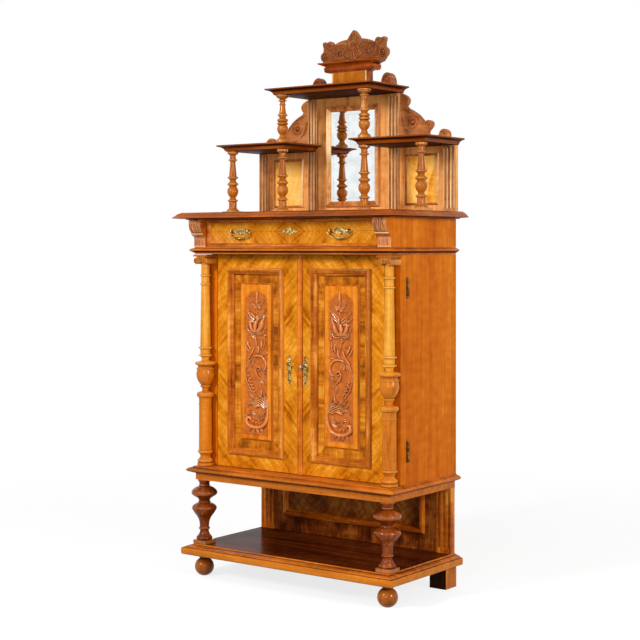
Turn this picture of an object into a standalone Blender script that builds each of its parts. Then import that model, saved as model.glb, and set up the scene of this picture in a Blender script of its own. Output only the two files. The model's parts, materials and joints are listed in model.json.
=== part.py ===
"""Vertiko cabinet: a tall two-door cupboard on an open stand, with a drawer and a mirrored gallery.

The front faces -Y, +X is to the right and the origin is on the floor, under the middle of the part.
"""

import math

import bmesh
import bpy
from mathutils import Matrix, Vector

OBJECT_NAME = "vertiko_cabinet"

# Heights of the stack, from the floor upwards
FOOT_HEIGHT = 0.084
BASE_SHELF_THICKNESS = 0.041
LEG_HEIGHT = 0.2465
BOTTOM_THICKNESS = 0.0525
DOOR_SECTION_HEIGHT = 0.823
DRAWER_BOARD_THICKNESS = 0.027
DRAWER_SECTION_HEIGHT = 0.105
TOP_THICKNESS = 0.028
LOWER_GALLERY_HEIGHT = 0.2486
GALLERY_SHELF_THICKNESS = 0.026
UPPER_GALLERY_HEIGHT = 0.184
PEDESTAL_HEIGHT = 0.1114
CREST_HEIGHT = 0.125

# Carcase
CASE_WIDTH = 0.920
CASE_DEPTH = 0.338
DRAWER_CASE_DEPTH = 0.434
SIDE_THICKNESS = 0.022
CASE_BACK_THICKNESS = 0.010
INNER_SHELF_THICKNESS = 0.018
INNER_SHELF_SETBACK = 0.020
SHELF_HOUSING_DEPTH = 0.007

# Overhangs of the moulded boards past the carcase, at the side and at the front
BASE_SHELF_OVERHANG = (0.029, 0.047)
BOTTOM_OVERHANG = (0.021, 0.0275)
DRAWER_BOARD_OVERHANG = (0.014, 0.0175)
TOP_OVERHANG = (0.055, 0.073)

# Stand
BALL_DIAMETER = 0.075
BALL_NECK_HEIGHT = 0.011
BALL_NECK_RADIUS = 0.018
LEG_INSET = 0.0314
LEG_SETBACK = 0.020
LEG_PLINTH_WIDTH = 0.062
LEG_PLINTH_HEIGHT = 0.013
BACK_FOOT_WIDTH = 0.0716
BACK_FOOT_DEPTH = 0.075
BACK_FOOT_OVERHANG = 0.007
BACK_POST_WIDTH = 0.064
BACK_POST_THICKNESS = 0.030
BACK_POST_INSET = 0.0056
LOWER_PANEL_THICKNESS = 0.014
LOWER_PANEL_SETBACK = 0.004
LOWER_FRAME_MARGIN = (0.052, 0.062)
LOWER_FRAME_TOP_MARGIN = 0.026
POST_FLUTES = 3
POST_FLUTE_RADIUS = 0.0065
POST_FLUTE_DEPTH = 0.004
POST_FLUTE_END = 0.018

# Doors
DOOR_THICKNESS = 0.040
DOOR_SEAM = 0.002
PANEL_THICKNESS = 0.012
PANEL_OFFSET = 0.200
PANEL_OPENING_WIDTH = 0.238
DOOR_RAIL = 0.066
PANEL_SINK = 0.006
FIELD_BORDER = 0.045
FIELD_RISE = 0.007
MOULDING_WIDTH = 0.027
MOULDING_LAP = 0.016
MOULDING_RISE = 0.015
STRIP_WIDTH = 0.023
STRIP_RISE = 0.011
COLUMN_INSET = 0.029
COLUMN_STANDOFF = 0.0275
COLUMN_PLINTH_DIAMETER = 0.064
COLUMN_PLINTH_HEIGHT = 0.010
CAPITAL_HEIGHT = 0.038
CAPITAL_WIDTH = 0.069
ABACUS_HEIGHT = 0.008
VOLUTE_RADIUS = 0.0135

# Hinges
HINGE_HEIGHT = 0.075
HINGE_INSET = 0.080
HINGE_LEAF_WIDTH = 0.018
HINGE_LEAF_THICKNESS = 0.0016
KNUCKLE_RADIUS = 0.005
HINGE_PIN_RADIUS = 0.0022

# Door key and bolt
KEY_OFFSET = 0.038
KEY_HEIGHT = 0.403
KEY_SHAFT_RADIUS = 0.0025
KEY_STEM = 0.015
KEY_BOW_RADIUS = 0.0105
KEY_BOW_WIRE = 0.0020
KEY_BIT_REACH = 0.009
KEY_BIT_WIDTH = 0.008
KEY_BIT_THICKNESS = 0.0024
KEY_BIT_DEPTH = 0.019
LOCK_POCKET_RADIUS = 0.0105
BOLT_LENGTH = 0.034
BOLT_HEIGHT = 0.014
BOLT_THICKNESS = 0.0064
BOLT_DEPTH = 0.0064
BOLT_RISE = 0.005
BOLT_THROW = 0.008

# Drawer
DRAWER_FRONT_THICKNESS = 0.022
DRAWER_LIP = 0.013
DRAWER_FIELD_SINK = 0.007
DRAWER_SIDE_THICKNESS = 0.011
DRAWER_BOTTOM_THICKNESS = 0.008
DRAWER_BOX_HEIGHT = 0.084
DRAWER_BACK_SPACE = 0.030
GUIDE_HEIGHT = 0.018
CORBEL_WIDTH = 0.058
CORBEL_REACH = 0.038
CORBEL_BLOCK_DEPTH = 0.030

# Bail handles
HANDLE_OFFSET = 0.232
HANDLE_RISE = 0.006
HANDLE_PLATE_WIDTH = 0.110
HANDLE_PLATE_HEIGHT = 0.030
HANDLE_PLATE_THICKNESS = 0.002
HANDLE_SPAN = 0.079
HANDLE_POST_RADIUS = 0.0048
HANDLE_POST_LENGTH = 0.016
HANDLE_PIVOT = 0.0105
BAIL_RADIUS = 0.0030
BAIL_END_RADIUS = 0.0017
BAIL_DROP = 0.026
BAIL_SHOULDER = 0.0052

# Gallery
GALLERY_THICKNESS = 0.018
CENTRE_WIDTH = 0.436
WING_WIDTH = 0.251
CENTRE_PILASTER_WIDTH = 0.045
WING_PILASTER_WIDTH = 0.047
PILASTER_RISE = 0.008
GALLERY_FLUTES = 3
GALLERY_FLUTE_RADIUS = 0.0048
MIRROR_WIDTH = 0.220
MIRROR_SILL = 0.043
MIRROR_HEAD = 0.0526
MIRROR_THICKNESS = 0.004
MIRROR_FRAME_WIDTH = 0.022
MIRROR_FRAME_RISE = 0.012
MIRROR_FRAME_LAP = 0.004
WING_FRAME_MARGIN = 0.026
WING_FRAME_WIDTH = 0.009
WING_FRAME_RISE = 0.006
SIDE_SHELF_DEPTH = 0.2644
SIDE_SHELF_OVERHANG = 0.0286
SIDE_SHELF_LAP = 0.0434
TOP_SHELF_WIDTH = 0.500
BALUSTER_DEPTH = 0.221
OUTER_BALUSTER_INSET = 0.0225
INNER_BALUSTER_INSET = 0.056
BALUSTER_BASE_WIDTH = 0.060
BALUSTER_BASE_HEIGHT = 0.010
SPLAT_THICKNESS = 0.018
SPLAT_LENGTH = 0.2215
SPLAT_HEIGHT = 0.182

# Crown
CROWN_PEDESTAL_WIDTH = 0.163
CROWN_PEDESTAL_DEPTH = 0.046
CORNICE_WIDTH = 0.286
CORNICE_DEPTH = 0.063
CORNICE_HEIGHT = 0.020
CROWN_SCROLL_SPAN = 0.392
CROWN_SCROLL_HEIGHT = 0.057
CROWN_SCROLL_THICKNESS = 0.028
CREST_WIDTH = 0.324
CREST_THICKNESS = 0.016

# Clearances
SEAT_GAP = 0.0003
DOOR_CLEARANCE = 0.002
DRAWER_CLEARANCE = 0.0015
HOUSING_CLEARANCE = 0.0005
PIVOT_CLEARANCE = 0.0004
JOIN_OVERLAP = 0.001

# Facets of round pieces, and points of curves
LARGE_SIDES = 14
SMALL_SIDES = 12
CURVE_STEPS = 2
FLUTE_STEPS = 4
BALL_STEPS = 9
VOLUTE_STEPS = 7
WIRE_RESOLUTION = 2
FULL_BULGE = 0.005
WELD_DISTANCE = 0.00001

# Angles of the round stretches in outlines, in degrees
BALL_ARC = (62, -70)
VOLUTE_ARC = (65, -150)

# Moulded edges, bottom to top: setback from the nose, and share of the thickness
BASE_SHELF_EDGE = (
    (0.005, 0.0), (0.0, 0.12), (0.0, 0.62), (0.007, 0.66), (0.012, 0.78), (0.024, 0.88),
    (0.030, 0.90), (0.034, 1.0),
)
BOTTOM_EDGE = (
    (0.026, 0.0), (0.026, 0.47), (0.019, 0.51), (0.013, 0.56), (0.004, 0.62), (0.0, 0.70),
    (0.0, 0.78), (0.008, 0.88), (0.018, 0.94), (0.020, 1.0),
)
DRAWER_BOARD_EDGE = (
    (0.016, 0.0), (0.014, 0.18), (0.006, 0.36), (0.0, 0.50), (0.0, 0.64), (0.006, 0.80),
    (0.014, 0.88), (0.015, 1.0),
)
TOP_EDGE = (
    (0.040, 0.0), (0.036, 0.12), (0.012, 0.17), (0.002, 0.20), (0.0, 0.28), (0.004, 0.40),
    (0.016, 0.80), (0.024, 0.94), (0.025, 1.0),
)
GALLERY_SHELF_EDGE = (
    (0.029, 0.0), (0.025, 0.12), (0.021, 0.42), (0.014, 0.62), (0.004, 0.74), (0.0, 0.80),
    (0.0, 0.96), (0.002, 1.0),
)
CORNICE_EDGE = (
    (0.030, 0.0), (0.026, 0.25), (0.014, 0.50), (0.003, 0.72), (0.0, 0.80), (0.0, 0.94), (0.002, 1.0),
)

# Sections of applied mouldings: shares of the width from the outer edge, and of the rise
BOLECTION_SHAPE = (
    (0.0, 0.35), (0.15, 0.85), (0.35, 1.0), (0.55, 0.9), (0.72, 0.45), (0.86, 0.35), (1.0, 0.0),
)
HALF_ROUND_SHAPE = ((0.0, 0.4), (0.25, 0.9), (0.5, 1.0), (0.75, 0.8), (1.0, 0.2))
MIRROR_FRAME_SHAPE = ((0.0, 0.6), (0.2, 1.0), (0.6, 0.9), (1.0, 0.6))

# Handle plate: shares of its half width and half height, from one tip to the middle
PLATE_SHAPE = ((1.0, 0.0), (0.80, 0.42), (0.55, 0.40), (0.32, 0.72), (0.0, 1.0))

# Bail: shares of its half width, its drop and its wire radius, from the eye to the middle
BAIL_SHAPE = (
    (1.0, 0.19, 0.8), (0.92, 0.385, 0.9), (0.72, 0.66, 1.0), (0.40, 0.94, 1.1), (0.0, 1.0, 1.2),
)

# Turned profiles, top to bottom: height in the drawing, radius, and bulge of the stretch that ends there
LEG_PROFILE = (
    (0.2465, 0.0250, 0.0), (0.2415, 0.0255, 0.0), (0.2365, 0.0215, -0.001), (0.2290, 0.0190, 0.0),
    (0.2270, 0.0205, 0.0), (0.2230, 0.0205, 0.0015), (0.2215, 0.0195, 0.0), (0.2123, 0.0390, 0.0025),
    (0.2026, 0.0488, 0.0012), (0.1961, 0.0510, 0.0), (0.1896, 0.0488, 0.0), (0.1798, 0.0358, 0.0008),
    (0.1717, 0.0244, -0.001), (0.1650, 0.0205, 0.0), (0.1635, 0.0225, 0.0), (0.1590, 0.0225, 0.0015),
    (0.1571, 0.0228, 0.0), (0.1506, 0.0374, 0.0015), (0.1441, 0.0455, 0.001), (0.1382, 0.0485, 0.0),
    (0.1278, 0.0455, 0.0008), (0.1148, 0.0374, 0.0), (0.1018, 0.0276, -0.0005), (0.0823, 0.0195, -0.001),
    (0.0640, 0.0180, 0.0), (0.0600, 0.0195, 0.0), (0.0545, 0.0195, 0.003), (0.0510, 0.0175, 0.0),
    (0.0480, 0.0172, 0.0), (0.0254, 0.0295, -0.003), (0.0170, 0.0300, 0.0015), (0.0130, 0.0285, 0.0),
)
COLUMN_PROFILE = (
    (0.8025, 0.0165, 0.0), (0.7435, 0.0165, 0.0), (0.7365, 0.0165, 0.0050), (0.7095, 0.0168, 0.0),
    (0.7025, 0.0168, 0.0050), (0.4620, 0.0205, 0.0), (0.4540, 0.0205, 0.0070), (0.4320, 0.0195, 0.0),
    (0.4240, 0.0195, 0.0075), (0.4160, 0.0150, 0.0), (0.4080, 0.0155, 0.0), (0.4030, 0.0360, 0.0),
    (0.3910, 0.0360, 0.0045), (0.3870, 0.0300, 0.0), (0.3810, 0.0300, -0.001), (0.3790, 0.0325, 0.0),
    (0.3730, 0.0325, 0.003), (0.3680, 0.0330, 0.0), (0.3120, 0.0170, 0.0085), (0.3040, 0.0165, 0.003),
    (0.2970, 0.0130, 0.0), (0.2890, 0.0135, 0.0), (0.2850, 0.0265, 0.0), (0.2650, 0.0265, 0.0075),
    (0.2600, 0.0255, 0.0), (0.2410, 0.0250, 0.0), (0.2360, 0.0250, 0.002), (0.0580, 0.0255, 0.0),
    (0.0480, 0.0255, 0.0045), (0.0400, 0.0215, 0.0), (0.0300, 0.0225, -0.002), (0.0240, 0.0265, 0.0),
    (0.0110, 0.0265, 0.0042), (0.0100, 0.0270, 0.0),
)
LOWER_BALUSTER_PROFILE = (
    (0.2486, 0.0220, 0.0), (0.2400, 0.0220, 0.0), (0.2330, 0.0120, -0.001), (0.2190, 0.0120, 0.0),
    (0.2110, 0.0120, 0.0065), (0.2030, 0.0105, 0.0), (0.1490, 0.0155, 0.0), (0.1400, 0.0155, 0.0065),
    (0.1310, 0.0120, 0.0), (0.1240, 0.0170, 0.0), (0.1130, 0.0170, 0.0055), (0.1070, 0.0145, 0.0),
    (0.1010, 0.0200, 0.0), (0.0650, 0.0110, 0.0060), (0.0570, 0.0150, 0.0), (0.0480, 0.0150, 0.006),
    (0.0460, 0.0155, 0.0), (0.0270, 0.0155, 0.0), (0.0140, 0.0255, -0.003), (0.0100, 0.0260, 0.0),
)
UPPER_BALUSTER_PROFILE = (
    (0.1840, 0.0270, 0.0), (0.1800, 0.0270, 0.0), (0.1780, 0.0225, 0.0), (0.1740, 0.0225, 0.001),
    (0.1700, 0.0130, -0.001), (0.1650, 0.0110, 0.0), (0.1600, 0.0110, 0.0070), (0.1560, 0.0100, 0.0),
    (0.1500, 0.0100, 0.0), (0.1460, 0.0100, 0.0035), (0.1110, 0.0145, -0.0005), (0.1020, 0.0145, 0.005),
    (0.0960, 0.0120, 0.0), (0.0900, 0.0200, 0.0), (0.0830, 0.0200, 0.0020), (0.0800, 0.0165, 0.0),
    (0.0760, 0.0205, 0.0), (0.0700, 0.0205, 0.0015), (0.0670, 0.0150, 0.0), (0.0640, 0.0195, 0.0),
    (0.0300, 0.0105, 0.0060), (0.0240, 0.0130, 0.0), (0.0120, 0.0240, -0.003), (0.0, 0.0260, 0.0),
)

# Sawn outlines as points in the drawing, across and up
CORBEL_OUTLINE = (
    (0.006, 0.0), (0.006, 0.036), (0.010, 0.040), (0.018, 0.045), (0.022, 0.049), (0.020, 0.053),
    (0.025, 0.057), (0.034, 0.069), (0.038, 0.084), (0.038, 0.095), (0.036, 0.105),
)
SPLAT_OUTLINE = (
    (0.010, 0.182), (0.030, 0.171), (0.040, 0.157), (0.037, 0.142), (0.030, 0.134), (0.038, 0.124),
    (0.056, 0.115), (0.082, 0.098), (0.100, 0.080), (0.110, 0.070), (0.122, 0.074), (0.132, 0.074),
    (0.144, 0.068), (0.148, 0.058), (0.143, 0.046), (0.131, 0.034), (0.129, 0.024), (0.138, 0.015),
    (0.154, 0.012), (0.172, 0.015), (0.180, 0.030), (0.194, 0.038), (0.210, 0.034), (0.221, 0.022),
    (0.2215, 0.008),
)
CREST_OUTLINE = (
    (0.0, 0.125), (0.008, 0.120), (0.019, 0.107), (0.027, 0.096), (0.032, 0.090), (0.055, 0.087),
    (0.080, 0.080), (0.098, 0.0715), (0.101, 0.079), (0.108, 0.087), (0.118, 0.089), (0.130, 0.085),
    (0.139, 0.088), (0.148, 0.087), (0.152, 0.080), (0.149, 0.068), (0.147, 0.056), (0.151, 0.047),
    (0.159, 0.040), (0.162, 0.029), (0.159, 0.017), (0.151, 0.010), (0.148, 0.0),
)
CROWN_SCROLL_OUTLINE = (
    (0.070, 0.008), (0.124, 0.008), (0.136, 0.013), (0.139, 0.028), (0.146, 0.046), (0.162, 0.057),
    (0.179, 0.052), (0.190, 0.038), (0.195, 0.020), (0.196, 0.0),
)
PEDESTAL_EAR_OUTLINE = (
    (0.122, 0.088), (0.122, 0.077), (0.119, 0.070), (0.112, 0.067), (0.102, 0.0665), (0.096, 0.069),
    (0.090, 0.0655), (0.080, 0.065),
)

# Levels of the stack
Z_BASE = FOOT_HEIGHT
Z_STAND = Z_BASE + BASE_SHELF_THICKNESS
Z_BOTTOM = Z_STAND + LEG_HEIGHT
Z_DOORS = Z_BOTTOM + BOTTOM_THICKNESS
Z_DRAWER_BOARD = Z_DOORS + DOOR_SECTION_HEIGHT
Z_DRAWER = Z_DRAWER_BOARD + DRAWER_BOARD_THICKNESS
Z_TOP = Z_DRAWER + DRAWER_SECTION_HEIGHT
Z_GALLERY = Z_TOP + TOP_THICKNESS
Z_SIDE_SHELF = Z_GALLERY + LOWER_GALLERY_HEIGHT
Z_UPPER = Z_SIDE_SHELF + GALLERY_SHELF_THICKNESS
Z_TOP_SHELF = Z_UPPER + UPPER_GALLERY_HEIGHT
Z_CROWN = Z_TOP_SHELF + GALLERY_SHELF_THICKNESS
Z_CREST = Z_CROWN + PEDESTAL_HEIGHT
Z_PEAK = Z_CREST + CREST_HEIGHT

# Planes across the depth
BACK = (DRAWER_CASE_DEPTH + TOP_OVERHANG[1]) / 2
DRAWER_PLANE = BACK - DRAWER_CASE_DEPTH
DOOR_BACK = BACK - CASE_DEPTH
DOOR_FRONT = DOOR_BACK - DOOR_THICKNESS
CASE_FRONT = DOOR_BACK + DOOR_SEAM
HINGE_Y = DOOR_BACK + DOOR_SEAM / 2
GALLERY_FRONT = BACK - GALLERY_THICKNESS
PILASTER_FRONT = GALLERY_FRONT - PILASTER_RISE

# Planes across the width
CASE_HALF = CASE_WIDTH / 2
CASE_INSIDE = CASE_HALF - SIDE_THICKNESS
HINGE_X = CASE_HALF + KNUCKLE_RADIUS + PIVOT_CLEARANCE
CORBEL_INSIDE = CASE_HALF - CORBEL_WIDTH
POST_OUTSIDE = CASE_HALF - BACK_POST_INSET
POST_INSIDE = POST_OUTSIDE - BACK_POST_WIDTH

# Doors
DOOR_Z = (Z_DOORS + DOOR_CLEARANCE, Z_DRAWER_BOARD - DOOR_CLEARANCE)
DOOR_MEETING = DOOR_CLEARANCE / 2
PANEL_Z = (DOOR_Z[0] + DOOR_RAIL, DOOR_Z[1] - DOOR_RAIL)
KEY_Z = DOOR_Z[0] + KEY_HEIGHT
HINGE_LEVELS = {"upper": DOOR_Z[1] - HINGE_INSET - HINGE_HEIGHT, "lower": DOOR_Z[0] + HINGE_INSET}
INNER_SHELF_Z = (Z_DOORS + Z_DRAWER_BOARD - INNER_SHELF_THICKNESS) / 2

SIDES = {"left": -1, "right": 1}

# Colours (linear), roughness and metallic value
FINISHES = {
    "honey_veneer": ((0.56, 0.22, 0.035), 0.30, 0.0),
    "walnut": ((0.30, 0.095, 0.022), 0.32, 0.0),
    "dark_walnut": ((0.10, 0.026, 0.010), 0.25, 0.0),
    "carved_walnut": ((0.33, 0.13, 0.045), 0.45, 0.0),
    "pine": ((0.62, 0.40, 0.19), 0.60, 0.0),
    "aged_brass": ((0.47, 0.34, 0.12), 0.35, 1.0),
    "lock_steel": ((0.30, 0.29, 0.27), 0.40, 1.0),
    "mirror": ((0.90, 0.92, 0.92), 0.02, 1.0),
}


def clear_scene():
    for obj in list(bpy.data.objects):
        bpy.data.objects.remove(obj, do_unlink=True)


def new_collection(name):
    collection = bpy.data.collections.new(name)
    bpy.context.scene.collection.children.link(collection)
    return collection


def new_finish(name, colour, roughness, metallic):
    material = bpy.data.materials.new(name)
    material.use_nodes = True
    shader = material.node_tree.nodes["Principled BSDF"]
    shader.inputs["Base Color"].default_value = (*colour, 1.0)
    shader.inputs["Roughness"].default_value = roughness
    shader.inputs["Metallic"].default_value = metallic
    return material


clear_scene()
parts = new_collection(OBJECT_NAME)
cutters = new_collection(OBJECT_NAME + "_cutters")
finishes = {name: new_finish(name, *values) for name, values in FINISHES.items()}


def new_body(name, location=(0.0, 0.0, 0.0), parent=None):
    """An empty that carries the pieces of one moving body, on the axis of its joint."""
    empty = bpy.data.objects.new(name, None)
    empty.location = location
    parts.objects.link(empty)
    attach(empty, parent)
    return empty


def attach(obj, parent):
    if parent:
        bpy.context.view_layer.update()
        obj.parent = parent
        obj.matrix_parent_inverse = parent.matrix_world.inverted()


def place(obj, finish, parent):
    """Links a piece to the object, or a helper without a finish to the cutters."""
    if finish:
        parts.objects.link(obj)
        obj.data.materials.append(finishes[finish])
        attach(obj, parent)
    else:
        cutters.objects.link(obj)
        obj.hide_render = True
        obj.display_type = "WIRE"
    return obj


def from_bmesh(name, bm, finish, parent, location=(0.0, 0.0, 0.0), rotation=(0.0, 0.0, 0.0)):
    mesh = bpy.data.meshes.new(name)
    bm.to_mesh(mesh)
    bm.free()
    obj = bpy.data.objects.new(name, mesh)
    obj.location = location
    obj.rotation_euler = rotation
    return place(obj, finish, parent)


def box(name, x_range, y_range, z_range, finish=None, parent=None):
    low = Vector(min(span) for span in (x_range, y_range, z_range))
    high = Vector(max(span) for span in (x_range, y_range, z_range))
    bm = bmesh.new()
    bmesh.ops.create_cube(bm, size=1.0, matrix=Matrix.Diagonal((*(high - low), 1.0)))
    return from_bmesh(name, bm, finish, parent, (low + high) / 2)


def boxes(name, ranges):
    """Several boxes in one helper, each as its ranges in X, Y and Z."""
    bm = bmesh.new()
    for spans in ranges:
        low = Vector(min(span) for span in spans)
        high = Vector(max(span) for span in spans)
        matrix = Matrix.Translation((low + high) / 2) @ Matrix.Diagonal((*(high - low), 1.0))
        bmesh.ops.create_cube(bm, size=1.0, matrix=matrix)
    return from_bmesh(name, bm, None, None)


def rod(name, start, end, radius, sides, finish=None, parent=None):
    """A cylinder from one point to another."""
    axis = Vector(end) - Vector(start)
    bm = bmesh.new()
    bmesh.ops.create_cone(
        bm, cap_ends=True, segments=sides, radius1=radius, radius2=radius, depth=axis.length
    )
    turn = axis.to_track_quat("Z", "Y").to_euler()
    return from_bmesh(name, bm, finish, parent, (Vector(start) + Vector(end)) / 2, turn)


def combine(obj, other, operation):
    modifier = obj.modifiers.new(f"{operation.lower()}_{other.name}", "BOOLEAN")
    modifier.operation = operation
    modifier.solver = "EXACT"
    modifier.object = other
    return obj


def loft(name, rings, finish=None, parent=None, closed=False):
    """A solid through rings of points. A closed one runs back from its last ring to its first."""
    bm = bmesh.new()
    loops = [[bm.verts.new(point) for point in ring] for ring in rings]
    following = loops[1:] + (loops[:1] if closed else [])
    for lower, upper in zip(loops, following):
        for i in range(len(lower)):
            j = (i + 1) % len(lower)
            bm.faces.new((lower[i], lower[j], upper[j], upper[i]))
    if not closed:
        bm.faces.new(loops[0])
        bm.faces.new(loops[-1])
    bmesh.ops.recalc_face_normals(bm, faces=bm.faces[:])
    return from_bmesh(name, bm, finish, parent)


def moulded_board(name, x_range, front, z_range, edge, finish, parent):
    """A board with one moulded edge round its front and both ends, and a plain back edge."""
    left, right = x_range
    low, high = z_range
    rings = []
    for setback, share in edge:
        z = low + share * (high - low)
        near = front + setback
        start = left + setback
        end = right - setback
        rings.append([(start, near, z), (end, near, z), (end, BACK, z), (start, BACK, z)])
    return loft(name, rings, finish, parent)


def upright_ring(x_range, z_range, inset, y):
    left, right = min(x_range) + inset, max(x_range) - inset
    low, high = z_range[0] + inset, z_range[1] - inset
    return [(left, y, low), (right, y, low), (right, y, high), (left, y, high)]


def framed_moulding(name, x_range, z_range, plane, section, finish=None, parent=None):
    """A mitred frame on an upright plane. Its section holds insets from the outer edge, and rises."""
    rings = [upright_ring(x_range, z_range, inset, plane - rise) for inset, rise in section]
    return loft(name, rings, finish, parent, closed=True)


def shaped(shape, width, rise):
    return [(across * width, up * rise) for across, up in shape]


def bolection(width, rise, lap):
    """Section of a bold moulding that laps over the frame and drops to the panel behind its plane."""
    seat = SEAT_GAP - PANEL_SINK
    step = lap + HOUSING_CLEARANCE
    section = [(0.0, SEAT_GAP), *shaped(BOLECTION_SHAPE, width, rise)]
    return section + [(width, seat), (step, seat), (step, SEAT_GAP)]


def applied_moulding(width, rise):
    """Section of a small half-round moulding that is joined to its ground."""
    return [(0.0, -JOIN_OVERLAP), *shaped(HALF_ROUND_SHAPE, width, rise), (width, -JOIN_OVERLAP)]


def turned_points(profile, height, base=0.0):
    """The profile stretched between the top of its plinth and a height, with each bulging stretch divided."""
    bottom = profile[-1][0]
    scale = (height - base) / (profile[0][0] - bottom)
    points = []
    for i, (level, radius, bulge) in enumerate(profile):
        if bulge:
            upper, wide, _ = profile[i - 1]
            steps = 3 if abs(bulge) > FULL_BULGE else 2
            for step in range(1, steps):
                t = step / steps
                swell = bulge * 4 * t * (1 - t)
                middle = upper + (level - upper) * t
                points.append((wide + (radius - wide) * t + swell, base + (middle - bottom) * scale))
        points.append((radius, base + (level - bottom) * scale))
    return points


def turned(name, points, location, sides, finish=None, parent=None, closed=False):
    """A turned piece from points of radius and height, top to bottom on its outer side."""
    if not closed:
        points = [(0.0, points[0][1]), *points, (0.0, points[-1][1])]
    bm = bmesh.new()
    verts = [bm.verts.new((radius, 0.0, level)) for radius, level in points]
    ends = zip(verts, verts[1:] + (verts[:1] if closed else []))
    for first, second in ends:
        bm.edges.new((first, second))
    obj = from_bmesh(name, bm, finish, parent, location)
    screw = obj.modifiers.new("turning", "SCREW")
    screw.axis = "Z"
    screw.angle = math.tau
    screw.steps = sides
    screw.render_steps = sides
    screw.use_merge_vertices = True
    screw.merge_threshold = WELD_DISTANCE
    screw.use_smooth_shade = True
    return obj


def smooth(points):
    """Points on a smooth curve through the points given, by cubic stretches."""
    curve = []
    for i in range(len(points) - 1):
        start = Vector(points[i])
        end = Vector(points[i + 1])
        leaving = (end - Vector(points[max(i - 1, 0)])) / 2
        arriving = (Vector(points[min(i + 2, len(points) - 1)]) - start) / 2
        for step in range(CURVE_STEPS):
            t = step / CURVE_STEPS
            blend = t * t * (3 - 2 * t)
            along = start.lerp(end, blend)
            curve.append(along + leaving * t * (1 - t) ** 2 - arriving * t * t * (1 - t))
    curve.append(Vector(points[-1]))
    return [(point.x, point.y) for point in curve]


def arc(centre, radius, span, steps):
    """Points on an arc between two angles in degrees."""
    start, end = span
    angles = [math.radians(start + (end - start) * i / steps) for i in range(steps + 1)]
    return [(centre[0] + radius * math.cos(a), centre[1] + radius * math.sin(a)) for a in angles]


FRONT_VIEW = (math.pi / 2, 0.0, 0.0)
SIDE_VIEW = (math.pi / 2, 0.0, math.pi / 2)
PLAN_VIEW = (0.0, 0.0, 0.0)


def outline(name, loops, thickness, location, rotation, finish=None, parent=None):
    """A flat piece sawn to an outline, as a mesh. Later loops are holes."""
    curve = bpy.data.curves.new(name, "CURVE")
    curve.dimensions = "2D"
    curve.fill_mode = "BOTH"
    curve.extrude = thickness / 2
    for points in loops:
        spline = curve.splines.new("POLY")
        spline.points.add(len(points) - 1)
        for point, (x, y) in zip(spline.points, points):
            point.co = (x, y, 0.0, 1.0)
        spline.use_cyclic_u = True
    drawn = bpy.data.objects.new(name + "_curve", curve)
    cutters.objects.link(drawn)
    bpy.context.view_layer.update()
    graph = bpy.context.evaluated_depsgraph_get()
    mesh = bpy.data.meshes.new_from_object(drawn.evaluated_get(graph))
    bpy.data.objects.remove(drawn, do_unlink=True)
    bm = bmesh.new()
    bm.from_mesh(mesh)
    bpy.data.meshes.remove(mesh)
    bmesh.ops.remove_doubles(bm, verts=bm.verts[:], dist=WELD_DISTANCE)
    bmesh.ops.recalc_face_normals(bm, faces=bm.faces[:])
    return from_bmesh(name, bm, finish, parent, location, rotation)


def stretched(points, width, height):
    """An outline stretched from its drawn size to a width and a height."""
    wide = width / max(x for x, _ in points)
    tall = height / max(y for _, y in points)
    return [(x * wide, y * tall) for x, y in points]


def mirrored(points):
    return [(-x, y) for x, y in reversed(points)]


def joined(name, pieces, finish, parent):
    """One piece from helpers that overlap."""
    first = pieces[0]
    cutters.objects.unlink(first)
    first.name = name
    first.hide_render = False
    first.display_type = "TEXTURED"
    place(first, finish, parent)
    for piece in pieces[1:]:
        combine(first, piece, "UNION")
    return first


def flute_cutter(name, centres, front, z_range, radius, depth):
    """Upright round hollows with square ends, in one helper."""
    bm = bmesh.new()
    low, high = z_range
    for x in centres:
        bmesh.ops.create_cone(
            bm,
            cap_ends=True,
            segments=LARGE_SIDES,
            radius1=radius,
            radius2=radius,
            depth=high - low,
            matrix=Matrix.Translation((x, front + depth - radius, (low + high) / 2)),
        )
    return from_bmesh(name, bm, None, None)


def fluted_section(width, depth, flutes, radius):
    """Plan of a pilaster with hollows along its front, from its back left corner."""
    pitch = width / flutes
    points = [(0.0, 0.0), (0.0, -depth)]
    for i in range(flutes):
        points += arc(((i + 0.5) * pitch, -depth), radius, (180, 0), FLUTE_STEPS)
    points += [(width, -depth), (width, 0.0)]
    return points


carcase = new_body("carcase")

# Stand
base_shelf = moulded_board(
    "base_shelf",
    (-CASE_HALF - BASE_SHELF_OVERHANG[0], CASE_HALF + BASE_SHELF_OVERHANG[0]),
    DRAWER_PLANE - BASE_SHELF_OVERHANG[1],
    (Z_BASE, Z_STAND - SEAT_GAP),
    BASE_SHELF_EDGE,
    "dark_walnut",
    carcase,
)
post_front = BACK - BACK_POST_THICKNESS
post_notches = boxes(
    "post_notches",
    [
        (
            (sign * (POST_INSIDE - SEAT_GAP), sign * (POST_OUTSIDE + SEAT_GAP)),
            (post_front - SEAT_GAP, BACK + JOIN_OVERLAP),
            (Z_BASE - JOIN_OVERLAP, Z_STAND + JOIN_OVERLAP),
        )
        for sign in SIDES.values()
    ],
)
combine(base_shelf, post_notches, "DIFFERENCE")

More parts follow.
